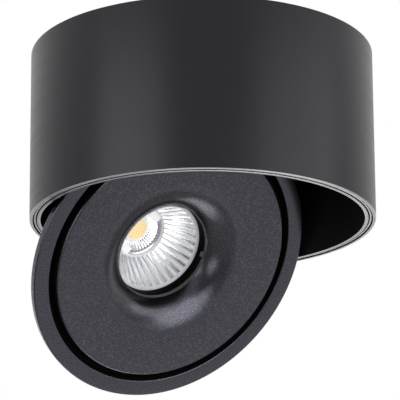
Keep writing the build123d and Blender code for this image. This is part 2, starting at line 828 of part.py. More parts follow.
def save(name, made, is_head=False):
    """Write one node from a shape or a list of separate solids."""
    shapes = made if isinstance(made, list) else [made]
    solids = [solid for shape in shapes for solid in shape.solids()]
    if is_head:
        solids = [tilted(solid) for solid in solids]
    solids = [lowered(solid) for solid in solids]
    whole = solids[0] if len(solids) == 1 else Compound(solids)
    export_step(whole, f"parts/{name}.step")


os.makedirs("parts", exist_ok=True)

right_bracket = make_tilt_bracket()
right_quadrant = make_quadrant()

fixed = {
    "housing_drum": make_housing_drum(),
    "mounting_plate": make_mounting_plate(),
    "grub_screws": make_grub_screws(),
    "cable_grommet": make_cable_grommet(),
    "driver_case": make_driver_case(),
    "driver_cover": make_driver_cover(),
    "driver_screws": make_driver_screws(),
    "terminal_block": make_terminal_block(),
    "terminal_screws": make_terminal_screws(),
    "guide_ring": make_guide_ring(),
    "stop_stud": make_stop_stud(),
    "turntable_cup": make_turntable_cup(),
    "swivel_bush": make_swivel_bush(),
    "swivel_nut": make_swivel_nut(),
    "disc_spring": make_disc_spring(),
    "friction_washer": make_friction_washer(),
    "tilt_bracket_right": right_bracket,
    "tilt_bracket_left": mirror(right_bracket, Plane.YZ),
    "guide_pins": make_guide_pins(),
    "glide_washers": make_glide_washers(),
    "bracket_screws": make_bracket_screws(),
}
head = {
    "bezel_ring": make_bezel_ring(),
    "bezel_screws": make_bezel_screws(),
    "face_plate": make_face_plate(),
    "baffle_tube": make_baffle_tube(),
    "reflector": make_reflector(),
    "neck_ring": make_neck_ring(),
    "cob_holder": make_cob_holder(),
    "holder_screws": make_holder_screws(),
    "cob_board": make_cob_board(),
    "cob_phosphor": make_cob_phosphor(),
    "cob_dam": make_cob_dam(),
    "thermal_pad": make_thermal_pad(),
    "heat_sink": make_heat_sink(),
    "sink_screws": make_sink_screws(),
    "quadrant_right": right_quadrant,
    "quadrant_left": mirror(right_quadrant, Plane.YZ),
    "quadrant_screws": make_quadrant_screws(),
}
for name, made in fixed.items():
    save(name, made)
for name, made in head.items():
    save(name, made, is_head=True)

print(f"drum {drum_d:.1f} x {drum_h:.2f} mm, tilt axis at z {-drum_h - tilt_axis_drop:.3f}")
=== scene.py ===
"""Looks of a surface-mounted drum downlight whose round spot head tilts out of the drum's mouth.

Pieces that show are drawn again in the places of the packed solids, with smooth curves, small edge radii
and procedural finishes. The inner nodes keep their packed shape and get a finish. Sizes in the classes are
millimetres, measured upwards from the drum's mouth with the head flush. Blender's own units are metres.
"""

import json
import logging
import math
from dataclasses import astuple, dataclass
from enum import Enum, IntEnum
from typing import Any, Callable, Optional, Sequence, Union

import bmesh
import bpy
from mathutils import Matrix, Vector

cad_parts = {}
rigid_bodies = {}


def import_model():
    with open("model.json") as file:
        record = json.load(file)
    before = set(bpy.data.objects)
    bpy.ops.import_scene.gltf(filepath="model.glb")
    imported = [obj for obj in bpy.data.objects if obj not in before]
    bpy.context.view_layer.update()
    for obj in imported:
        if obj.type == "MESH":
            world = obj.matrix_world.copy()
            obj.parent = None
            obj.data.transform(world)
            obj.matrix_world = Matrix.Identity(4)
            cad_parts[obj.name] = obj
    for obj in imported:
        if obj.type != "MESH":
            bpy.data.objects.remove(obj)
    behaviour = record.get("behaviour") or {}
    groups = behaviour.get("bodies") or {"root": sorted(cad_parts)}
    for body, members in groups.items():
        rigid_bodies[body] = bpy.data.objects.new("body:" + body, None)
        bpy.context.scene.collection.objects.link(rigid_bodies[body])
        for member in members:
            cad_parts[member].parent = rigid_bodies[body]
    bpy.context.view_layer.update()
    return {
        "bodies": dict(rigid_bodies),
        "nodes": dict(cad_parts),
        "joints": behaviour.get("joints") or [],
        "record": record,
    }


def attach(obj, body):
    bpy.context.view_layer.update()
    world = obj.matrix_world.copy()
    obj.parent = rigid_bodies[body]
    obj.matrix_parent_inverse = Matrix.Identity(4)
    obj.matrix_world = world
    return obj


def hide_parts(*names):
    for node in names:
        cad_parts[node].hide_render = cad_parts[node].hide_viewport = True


LOG = logging.getLogger("downlight")
MM = 0.001
# Angle above which an edge stays sharp
SMOOTH_LIMIT = math.radians(32)
# Radius below which a turned point lies on the axis
ON_AXIS = 1e-6
# Largest share of a side that a rounded corner takes
FILLET_REACH = 0.45
# Play in the tests that sort faces by their radius
ZONE_PLAY = 0.05

# Edge radii that many pieces share
HAIR_EDGE = 0.05
KEEN_EDGE = 0.06
FINE_EDGE = 0.1
EASED_EDGE = 0.2
SOFT_EDGE = 0.3

Color = tuple[float, float, float]
Corner = tuple[float, float, float]
Outline = list[tuple[float, float]]
Number = Union[float, bpy.types.NodeSocket]


class Body(str, Enum):
    """Bodies of the packed model."""

    HOUSING = "housing"
    TURNTABLE = "turntable"
    HEAD = "head"


class Pattern(Enum):
    """Fine structure of a finish."""

    GRAIN = "coat_grain"
    TURNED = "turning_marks"
    BRUSHED = "brush_lines"


class Segments(IntEnum):
    """Steps round the axis of turned pieces."""

    LARGE = 256
    MIDDLE = 192
    SMALL = 96
    HOLE = 40
    BOSS = 32


# Placing


@dataclass(frozen=True)
class Placement:
    """Where the drum's and the head's drawing frames lie in the packed model.

    Attributes:
        tilt_z: Height of the tilt line in metres.
        tilt_deg: Angle between the flush head and the rest pose.
        axis_drop: Distance of the tilt line below the mouth, in millimetres.
    """

    tilt_z: float
    tilt_deg: float
    axis_drop: float = 27.3

    @classmethod
    def from_joints(cls, joints: Sequence[dict[str, Any]]) -> "Placement":
        """Read the tilt line and its range from the packed joints.

        Args:
            joints: Joints of the packed record.

        Returns:
            The placement of both drawing frames.
        """
        tilt = next(joint for joint in joints if joint["name"] == "head_tilt")
        return cls(tilt_z=tilt["pos_m"][2], tilt_deg=max(tilt["range_deg"]))

    def drum(self) -> Matrix:
        """Frame of the drum and the cup, from millimetres to metres."""
        rim = self.tilt_z + self.axis_drop * MM
        return Matrix.Translation((0, 0, rim)) @ Matrix.Scale(MM, 4)

    def head(self) -> Matrix:
        """Frame of the tilted head, from millimetres to metres.

        Returns:
            The frame at rest.
        """
        turn = Matrix.Rotation(-math.radians(self.tilt_deg), 4, "X")
        lift = Matrix.Translation((0, 0, self.axis_drop))
        return Matrix.Translation((0, 0, self.tilt_z)) @ turn @ Matrix.Scale(MM, 4) @ lift

    def of(self, body: Body) -> Matrix:
        """Frame in which a body's pieces are drawn."""
        return self.head() if body is Body.HEAD else self.drum()


# Drawing


def on_circle(radius: float, degrees: float) -> tuple[float, float]:
    """Point on a circle about the axis."""
    angle = math.radians(degrees)
    return radius * math.cos(angle), radius * math.sin(angle)


def rounded(corners: Sequence[Corner], steps: int = 4) -> Outline:
    """Round each corner of a closed outline by its own radius.

    Args:
        corners: Radius from the axis, height and corner radius, in order round the outline.
        steps: Facets of each rounded corner.

    Returns:
        Points of radius and height.
    """
    points: Outline = []
    for i, (radius, height, fillet) in enumerate(corners):
        here = Vector((radius, height))
        if fillet <= 0:
            points.append((radius, height))
            continue
        back = Vector(corners[i - 1][:2]) - here
        ahead = Vector(corners[(i + 1) % len(corners)][:2]) - here
        half = back.angle(ahead) / 2
        reach = min(fillet / math.tan(half), FILLET_REACH * back.length, FILLET_REACH * ahead.length)
        middle = (back.normalized() + ahead.normalized()).normalized()
        centre = here + middle * (reach / math.cos(half))
        start = here + back.normalized() * reach - centre
        end = here + ahead.normalized() * reach - centre
        sweep = start.angle(end)
        for step in range(steps + 1):
            share = step / steps
            near = math.sin((1 - share) * sweep) / math.sin(sweep)
            far = math.sin(share * sweep) / math.sin(sweep)
            points.append(tuple(centre + start * near + end * far))
    return points


def lathe(outline: Outline, segments: int) -> bmesh.types.BMesh:
    """Turn a closed outline about Z.

    Args:
        outline: Points of radius and height.
        segments: Steps round the axis.

    Returns:
        A closed solid whose faces point outwards.
    """
    solid = bmesh.new()
    rings = []
    for radius, height in outline:
        count = segments if radius > ON_AXIS else 1
        turns = [on_circle(radius, 360 * i / segments) for i in range(count)]
        rings.append([solid.verts.new((x, y, height)) for x, y in turns])
    for low, high in zip(rings, rings[1:] + rings[:1]):
        for i in range(segments):
            j = (i + 1) % segments
            around = (low[i % len(low)], low[j % len(low)], high[j % len(high)], high[i % len(high)])
            corners = list(dict.fromkeys(around))
            if len(corners) > 2:
                solid.faces.new(corners)
    bmesh.ops.recalc_face_normals(solid, faces=solid.faces)
    return solid


def block(low: Sequence[float], high: Sequence[float], edge: float,
          turn: float = 0.0) -> bmesh.types.BMesh:
    """Block between two corners with small rounded edges, turned about Z.

    Args:
        low: Lowest corner.
        high: Highest corner.
        edge: Radius of its edges.
        turn: Turn about the axis in degrees.

    Returns:
        A closed solid.
    """
    solid = bmesh.new()
    bmesh.ops.create_cube(solid, size=1.0)
    size = Vector(high) - Vector(low)
    middle = (Vector(high) + Vector(low)) / 2
    for vert in solid.verts:
        vert.co = middle + Vector(a * b for a, b in zip(vert.co, size))
    bmesh.ops.bevel(solid, geom=solid.edges, offset=edge, segments=2, profile=0.5, affect="EDGES")
    spin = Matrix.Rotation(math.radians(turn), 3, "Z")
    bmesh.ops.rotate(solid, verts=solid.verts, cent=(0, 0, 0), matrix=spin)
    return solid


def post(place: tuple[float, float], radius: float, low: float, high: float) -> bmesh.types.BMesh:
    """Round boss with a rounded upper edge.

    Args:
        place: Its axis.
        radius: Its radius.
        low: Level of its foot.
        high: Level of its top.

    Returns:
        A closed solid.
    """
    outline = rounded([(0, low, 0), (radius, low, 0), (radius, high, SOFT_EDGE), (0, high, 0)])
    solid = lathe(outline, Segments.BOSS)
    bmesh.ops.translate(solid, verts=solid.verts, vec=(place[0], place[1], 0))
    return solid


def smooth(mesh: bpy.types.Mesh) -> None:
    """Shade a mesh smooth and keep its sharp edges."""
    mesh.shade_smooth()
    mesh.set_sharp_from_angle(angle=SMOOTH_LIMIT)


def place_piece(name: str, solids: Sequence[bmesh.types.BMesh], frame: Matrix,
                materials: Sequence[bpy.types.Material],
                zone: Optional[Callable[[Vector], int]] = None) -> bpy.types.Object:
    """Make one object from solids that are drawn in one frame.

    Args:
        name: Name of the piece.
        solids: Closed solids, which are used up.
        frame: Drawing frame in the packed model.
        materials: Materials in the order that the zone names them.
        zone: Gives a face's material from its middle in the drawing frame.

    Returns:
        The object, at the origin, with its place in its mesh.
    """
    whole = bmesh.new()
    part = bpy.data.meshes.new(name + "_part")
    for solid in solids:
        solid.to_mesh(part)
        solid.free()
        whole.from_mesh(part)
    bpy.data.meshes.remove(part)
    if zone is not None:
        for face in whole.faces:
            face.material_index = zone(face.calc_center_median())
    mesh = bpy.data.meshes.new(name)
    whole.to_mesh(mesh)
    whole.free()
    mesh.transform(frame)
    for material in materials:
        mesh.materials.append(material)
    smooth(mesh)
    piece = bpy.data.objects.new(name, mesh)
    bpy.context.scene.collection.objects.link(piece)
    return piece


def freeze(piece: bpy.types.Object) -> None:
    """Turn a piece's modifiers into a plain mesh and remove them.

    Args:
        piece: Piece whose modifiers are done.
    """
    graph = bpy.context.evaluated_depsgraph_get()
    mesh = bpy.data.meshes.new_from_object(piece.evaluated_get(graph))
    piece.modifiers.clear()
    old = piece.data
    piece.data = mesh
    bpy.data.meshes.remove(old)
    mesh.name = piece.name


def carve(piece: bpy.types.Object, cutters: Sequence[bpy.types.Object]) -> None:
    """Cut shapes out of a piece and remove the cutters.

    Args:
        piece: Piece that is cut.
        cutters: Shapes that are cut out, which are used up.
    """
    for cutter in cutters:
        cut = piece.modifiers.new("cut", "BOOLEAN")
        cut.operation = "DIFFERENCE"
        cut.solver = "EXACT"
        cut.object = cutter
    freeze(piece)
    smooth(piece.data)
    for cutter in cutters:
        bpy.data.objects.remove(cutter)


def fit(piece: bpy.types.Object, body: Body, slot: str, *nodes: str) -> None:
    """Let a piece ride on a body and stand for packed nodes.

    Args:
        piece: The finished piece.
        body: Body that carries it.
        slot: Slot of the record's materials; not used.
        nodes: Packed nodes that it replaces.
    """
    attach(piece, body.value)
    if nodes:
        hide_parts(*nodes)
    LOG.info("%s: %d faces on %s", piece.name, len(piece.data.polygons), body.value)


# Node trees


class NodeSketch:
    """Adds nodes to one tree and wires them."""

    def __init__(self, tree: bpy.types.NodeTree) -> None:
        """Keep the tree that is drawn on."""
        self.tree = tree

    def node(self, kind: str, **settings: Any) -> bpy.types.Node:
        """Add a node and set its properties.

        Args:
            kind: Type of the node.
            settings: Properties of the node.

        Returns:
            The new node.
        """
        made = self.tree.nodes.new(kind)
        for key, value in settings.items():
            setattr(made, key, value)
        return made

    def feed(self, target: bpy.types.NodeSocket, value: Any) -> None:
        """Wire a socket to another one, or set its value.

        Args:
            target: Socket that is fed.
            value: Socket or plain value.
        """
        if isinstance(value, bpy.types.NodeSocket):
            self.tree.links.new(value, target)
        else:
            target.default_value = value

    def math(self, operation: str, first: Number, second: Number = 0.0) -> bpy.types.NodeSocket:
        """Work out one operation on two values.

        Args:
            operation: Name of the operation.
            first: First value or socket.
            second: Second value or socket.

        Returns:
            The result's socket.
        """
        made = self.node("ShaderNodeMath", operation=operation)
        self.feed(made.inputs[0], first)
        self.feed(made.inputs[1], second)
        return made.outputs[0]

    def split(self, vector: bpy.types.NodeSocket) -> list[bpy.types.NodeSocket]:
        """Sockets of a vector's three parts.

        Args:
            vector: Socket of the vector.

        Returns:
            Sockets of X, Y and Z.
        """
        made = self.node("ShaderNodeSeparateXYZ")
        self.feed(made.inputs[0], vector)
        return list(made.outputs)

    def joined(self, x: Number, y: Number, z: Number) -> bpy.types.NodeSocket:
        """Vector from three parts.

        Args:
            x: First part.
            y: Second part.
            z: Third part.

        Returns:
            The vector's socket.
        """
        made = self.node("ShaderNodeCombineXYZ")
        for socket, value in zip(made.inputs, (x, y, z)):
            self.feed(socket, value)
        return made.outputs[0]

    def spread(self, value: Number, low: float, high: float, start: float = 0.0,
               end: float = 1.0) -> bpy.types.NodeSocket:
        """Map a value from one range to another.

        Args:
            value: Value or socket.
            low: Result at the start.
            high: Result at the end.
            start: Start of the value's range.
            end: End of the value's range.

        Returns:
            The result's socket.
        """
        made = self.node("ShaderNodeMapRange")
        for key, part in (("Value", value), ("From Min", start), ("From Max", end), ("To Min", low),
                          ("To Max", high)):
            self.feed(made.inputs[key], part)
        return made.outputs[0]

    def noise(self, vector: bpy.types.NodeSocket, scale: Number, detail: float) -> bpy.types.NodeSocket:
        """Noise of a vector, from 0 to 1.

        Args:
            vector: Socket of the place.
            scale: Fineness of the noise.
            detail: Number of finer layers.

        Returns:
            The result's socket.
        """
        made = self.node("ShaderNodeTexNoise")
        self.feed(made.inputs["Vector"], vector)
        self.feed(made.inputs["Scale"], scale)
        made.inputs["Detail"].default_value = detail
        return made.outputs[0]

    def mixed(self, share: Number, first: Any, second: Any) -> bpy.types.NodeSocket:
        """Mix of two colours.

        Args:
            share: Share of the second colour.
            first: First colour or socket.
            second: Second colour or socket.

        Returns:
            The mixed colour's socket.
        """
        made = self.node("ShaderNodeMix", data_type="RGBA")
        colors = [socket for socket in made.inputs if socket.type == "RGBA"]
        self.feed(made.inputs[0], share)
        self.feed(colors[0], first)
        self.feed(colors[1], second)
        return next(socket for socket in made.outputs if socket.type == "RGBA")


def new_group(name: str, inputs: dict[str, str], outputs: dict[str, str],
              kind: str = "ShaderNodeTree") -> bpy.types.NodeTree:
    """Make a node group with named sockets.

    Args:
        name: Name of the group.
        inputs: Socket types by name.
        outputs: Socket types by name.
        kind: Type of the tree.

    Returns:
        The empty group.
    """
    group = bpy.data.node_groups.new(name, kind)
    for side, sockets in (("INPUT", inputs), ("OUTPUT", outputs)):
        for key, socket_type in sockets.items():
            group.interface.new_socket(name=key, in_out=side, socket_type=socket_type)
    return group


class SurfaceGroups:
    """Shader groups that the finishes share, each built once.

    A pair of values says between which readings a mask changes.
    """

    FLOAT = "NodeSocketFloat"
    VECTOR = "NodeSocketVector"
    MASKS = ("Height", "Fleck", "Cloud")
    CLOUDS_PER_METRE = 22.0
    FLECKS_PER_GRAIN = 0.55
    FLECK_EDGE = (0.02, 0.3)
    FLECK_CHOICE = (0.55, 0.95)
    MARK_WAVES = 0.35
    ARC_WAVES = 2.5
    ARC_SCALE = 0.35
    ARC_LIMITS = (0.6, 0.75)
    BRUSH_STRETCH = 0.025
    BRUSH_BREADTH = 0.12
    BRUSH_LIMITS = (0.62, 0.8)
    DOT_EDGE = (0.1, 1.5)
    SILICONE_CLOUDS = 500.0

    def __init__(self) -> None:
        """Build the shared groups."""
        self.by_pattern = {
            Pattern.GRAIN: self._coat_grain(),
            Pattern.TURNED: self._turning_marks(),
            Pattern.BRUSHED: self._brush_lines(),
        }
        self.die_grid = self._die_grid()

    def _start(self, name: str, extra: Sequence[str], outputs: Sequence[str]
               ) -> tuple[NodeSketch, bpy.types.Node, bpy.types.Node]:
        """Begin a group that reads a place and puts out masks.

        Args:
            name: Name of the group.
            extra: Names of its inputs besides the place.
            outputs: Names of its values.

        Returns:
            The sketch and its input and output nodes.
        """
        inputs = {"Vector": self.VECTOR, **{key: self.FLOAT for key in extra}}
        group = new_group(name, inputs, {key: self.FLOAT for key in outputs})
        sketch = NodeSketch(group)
        return sketch, sketch.node("NodeGroupInput"), sketch.node("NodeGroupOutput")

    def _coat_grain(self) -> bpy.types.NodeTree:
        """Fine grain of a powder coat, its bright flecks and slow changes of tone.

        Returns:
            The finished group.
        """
        sketch, given, result = self._start(Pattern.GRAIN.value, ("Fineness",), self.MASKS)
        vector, fineness = given.outputs["Vector"], given.outputs["Fineness"]
        height = sketch.noise(vector, fineness, detail=3.0)
        cells = sketch.node("ShaderNodeTexVoronoi", feature="F1")
        sketch.feed(cells.inputs["Vector"], vector)
        sketch.feed(cells.inputs["Scale"], sketch.math("MULTIPLY", fineness, self.FLECKS_PER_GRAIN))
        near = sketch.spread(cells.outputs["Distance"], 1.0, 0.0, *self.FLECK_EDGE)
        chosen = sketch.spread(sketch.split(cells.outputs["Color"])[0], 0.0, 1.0, *self.FLECK_CHOICE)
        sketch.feed(result.inputs["Height"], height)
        sketch.feed(result.inputs["Fleck"], sketch.math("MULTIPLY", near, chosen))
        sketch.feed(result.inputs["Cloud"], sketch.noise(vector, self.CLOUDS_PER_METRE, detail=4.0))
        return sketch.tree

    def _turning_marks(self) -> bpy.types.NodeTree:
        """Concentric tool marks about the frame's Z axis.

        Returns:
            The finished group.
        """
        sketch, given, result = self._start(Pattern.TURNED.value, ("Fineness",), self.MASKS)
        x, y, z = sketch.split(given.outputs["Vector"])
        around = sketch.math("ARCTAN2", y, x)
        square = sketch.math("ADD", sketch.math("MULTIPLY", x, x), sketch.math("MULTIPLY", y, y))
        radius = sketch.math("SQRT", square)
        along = sketch.math("MULTIPLY", sketch.math("ADD", radius, z), given.outputs["Fineness"])
        circles = sketch.joined(along, sketch.math("MULTIPLY", around, self.MARK_WAVES), 0.0)
        marks = sketch.noise(circles, 1.0, detail=2.0)
        broken = sketch.joined(along, sketch.math("MULTIPLY", around, self.ARC_WAVES), 0.5)
        arcs = sketch.noise(broken, self.ARC_SCALE, detail=3.0)
        sketch.feed(result.inputs["Height"], marks)
        sketch.feed(result.inputs["Fleck"], sketch.spread(arcs, 0.0, 1.0, *self.ARC_LIMITS))
        sketch.feed(result.inputs["Cloud"], arcs)
        return sketch.tree

    def _brush_lines(self) -> bpy.types.NodeTree:
        """Long scratches along the frame's X axis.

        Returns:
            The finished group.
        """
        sketch, given, result = self._start(Pattern.BRUSHED.value, ("Fineness",), self.MASKS)
        x, y, z = sketch.split(given.outputs["Vector"])
        fineness = given.outputs["Fineness"]
        drawn = sketch.joined(sketch.math("MULTIPLY", x, self.BRUSH_STRETCH), y, z)
        lines = sketch.noise(drawn, fineness, detail=3.0)
        broad = sketch.noise(drawn, sketch.math("MULTIPLY", fineness, self.BRUSH_BREADTH), detail=2.0)
        sketch.feed(result.inputs["Height"], lines)
        sketch.feed(result.inputs["Fleck"], sketch.spread(lines, 0.0, 1.0, *self.BRUSH_LIMITS))
        sketch.feed(result.inputs["Cloud"], broad)
        return sketch.tree

    def _die_grid(self) -> bpy.types.NodeTree:
        """Square grid of soft dots in the frame's XY plane, as the dies under the phosphor show.

        Returns:
            The finished group.
        """
        sketch, given, result = self._start("die_grid", ("Pitch", "Size"), ("Dot", "Cloud"))
        place = given.outputs["Vector"]
        x, y, _ = sketch.split(place)
        parts = []
        for part in (x, y):
            cell = sketch.math("FRACT", sketch.math("DIVIDE", part, given.outputs["Pitch"]))
            away = sketch.math("ABSOLUTE", sketch.math("SUBTRACT", cell, 0.5))
            parts.append(sketch.math("MULTIPLY", away, away))
        away = sketch.math("SQRT", sketch.math("ADD", *parts))
        edge = sketch.math("DIVIDE", away, given.outputs["Size"])
        sketch.feed(result.inputs["Dot"], sketch.spread(edge, 1.0, 0.0, *self.DOT_EDGE))
        sketch.feed(result.inputs["Cloud"], sketch.noise(place, self.SILICONE_CLOUDS, detail=3.0))
        return sketch.tree


# Finishes


@dataclass(frozen=True)
class Finish:
    """One surface finish.

    Attributes:
        name: Name of the material.
        slot: Slot of the record's materials.
        color: Base colour.
        roughness: Mean roughness.
        depth: Depth of the structure in millimetres.
        tone: Share by which the colour changes slowly.
        gloss: Change of the roughness.
        pattern: Fine structure.
        fineness: Marks or grains per metre.
        fleck: Strength of bright flecks or scratches.
        sparkle: Weight of the gloss on the tops of the grain.
        metallic: Metal share.
        specular: Specular level.
        sheen_tint: Tint of the reflection.
        on_head: Whether the pattern is drawn in the head's frame.
    """

    name: str
    slot: str
    color: Color
    roughness: float
    depth: float
    tone: float
    gloss: float
    pattern: Pattern = Pattern.GRAIN
    fineness: float = 900.0
    fleck: float = 0.0
    sparkle: float = 0.0
    metallic: float = 0.0
    specular: float = 0.5
    sheen_tint: Color = (1.0, 1.0, 1.0)
    on_head: bool = False

    CLOUD_LIMITS = (0.3, 0.7)
    GRAIN_TOPS = (0.48, 0.68)
    FLECK_SHADE = 6.0

    def build(self, groups: SurfaceGroups, placement: Placement) -> bpy.types.Material:
        """Make the procedural material.

        Args:
            groups: Shared shader groups.
            placement: Frames of the drum and the head.

        Returns:
            The material.
        """
        material, sketch, shader, place = self._start(placement)
        structure = sketch.node("ShaderNodeGroup", node_tree=groups.by_pattern[self.pattern])
        sketch.feed(structure.inputs["Vector"], place)
        structure.inputs["Fineness"].default_value = self.fineness
        sketch.feed(shader.inputs["Base Color"], self._colored(sketch, structure))
        rough = sketch.spread(structure.outputs["Cloud"], self.roughness - self.gloss,
                              self.roughness + self.gloss, *self.CLOUD_LIMITS)
        sketch.feed(shader.inputs["Roughness"], rough)
        if self.sparkle > 0:
            tops = sketch.spread(structure.outputs["Height"], 0.0, self.sparkle, *self.GRAIN_TOPS)
            sketch.feed(shader.inputs["Coat Weight"], tops)
            shader.inputs["Coat Roughness"].default_value = self.roughness
        self._bumped(sketch, shader, structure.outputs["Height"])
        return material

    def _start(self, placement: Placement
               ) -> tuple[bpy.types.Material, NodeSketch, bpy.types.Node, bpy.types.NodeSocket]:
        """Begin a material whose pattern lies in the drum's or the head's frame.

        Args:
            placement: Frames of the drum and the head.

        Returns:
            The material, its sketch, its shader and the place's socket.
        """
        material = bpy.data.materials.new(self.name)
        material.use_nodes = True
        sketch = NodeSketch(material.node_tree)
        shader = material.node_tree.nodes["Principled BSDF"]
        shader.inputs["Metallic"].default_value = self.metallic
        shader.inputs["Specular IOR Level"].default_value = self.specular
        shader.inputs["Specular Tint"].default_value = self.sheen_tint + (1.0,)
        frame = placement.of(Body.HEAD if self.on_head else Body.HOUSING)
        mapping = sketch.node("ShaderNodeMapping", vector_type="TEXTURE")
        mapping.inputs["Location"].default_value = frame.to_translation()
        mapping.inputs["Rotation"].default_value = frame.to_euler()
        sketch.feed(mapping.inputs["Vector"], sketch.node("ShaderNodeTexCoord").outputs["Object"])
        return material, sketch, shader, mapping.outputs[0]

    def _shade(self, factor: float) -> tuple[float, float, float, float]:
        """Base colour made lighter or darker."""
        return tuple(min(1.0, part * factor) for part in self.color) + (1.0,)

    def _colored(self, sketch: NodeSketch, structure: bpy.types.Node) -> bpy.types.NodeSocket:
        """Colour with slow changes of tone and bright flecks.

        Args:
            sketch: Sketch of the material.
            structure: Node of the fine structure.

        Returns:
            The colour's socket.
        """
        cloud = sketch.spread(structure.outputs["Cloud"], 0.0, 1.0, *self.CLOUD_LIMITS)
        color = sketch.mixed(cloud, self._shade(1 - self.tone), self._shade(1 + self.tone))
        if self.fleck <= 0:
            return color
        share = sketch.math("MULTIPLY", structure.outputs["Fleck"], self.fleck)
        return sketch.mixed(share, color, self._shade(self.FLECK_SHADE))

    def _bumped(self, sketch: NodeSketch, shader: bpy.types.Node, height: bpy.types.NodeSocket) -> None:
        """Raise the structure with a bump.

        Args:
            sketch: Sketch of the material.
            shader: Shader that takes the bump.
            height: Socket of the structure's height.
        """
        bump = sketch.node("ShaderNodeBump")
        bump.inputs["Distance"].default_value = self.depth * MM
        sketch.feed(bump.inputs["Height"], height)
        sketch.feed(shader.inputs["Normal"], bump.outputs[0])


@dataclass(frozen=True)
class PhosphorFinish(Finish):
    """Yellow silicone over a grid of dies.

    Attributes:
        die_color: Colour above a die.
        pitch: Distance of the dies in millimetres.
        die_share: Radius of a die's dot as a share of the pitch.
    """

    die_color: Color = (0.97, 0.66, 0.26)
    pitch: float = 1.5
    die_share: float = 0.42

    def build(self, groups: SurfaceGroups, placement: Placement) -> bpy.types.Material:
        """Make the procedural material.

        Args:
            groups: Shared shader groups.
            placement: Frames of the drum and the head.

        Returns:
            The material.
        """
        material, sketch, shader, place = self._start(placement)
        grid = sketch.node("ShaderNodeGroup", node_tree=groups.die_grid)
        sketch.feed(grid.inputs["Vector"], place)
        grid.inputs["Pitch"].default_value = self.pitch * MM
        grid.inputs["Size"].default_value = self.die_share
        cloud = grid.outputs["Cloud"]
        silicone = sketch.mixed(cloud, self._shade(1 - self.tone), self._shade(1 + self.tone))
        yellow = sketch.mixed(grid.outputs["Dot"], silicone, self.die_color + (1.0,))
        sketch.feed(shader.inputs["Base Color"], yellow)
        rough = sketch.spread(cloud, self.roughness - self.gloss, self.roughness + self.gloss)
        sketch.feed(shader.inputs["Roughness"], rough)
        self._bumped(sketch, shader, grid.outputs["Dot"])
        return material


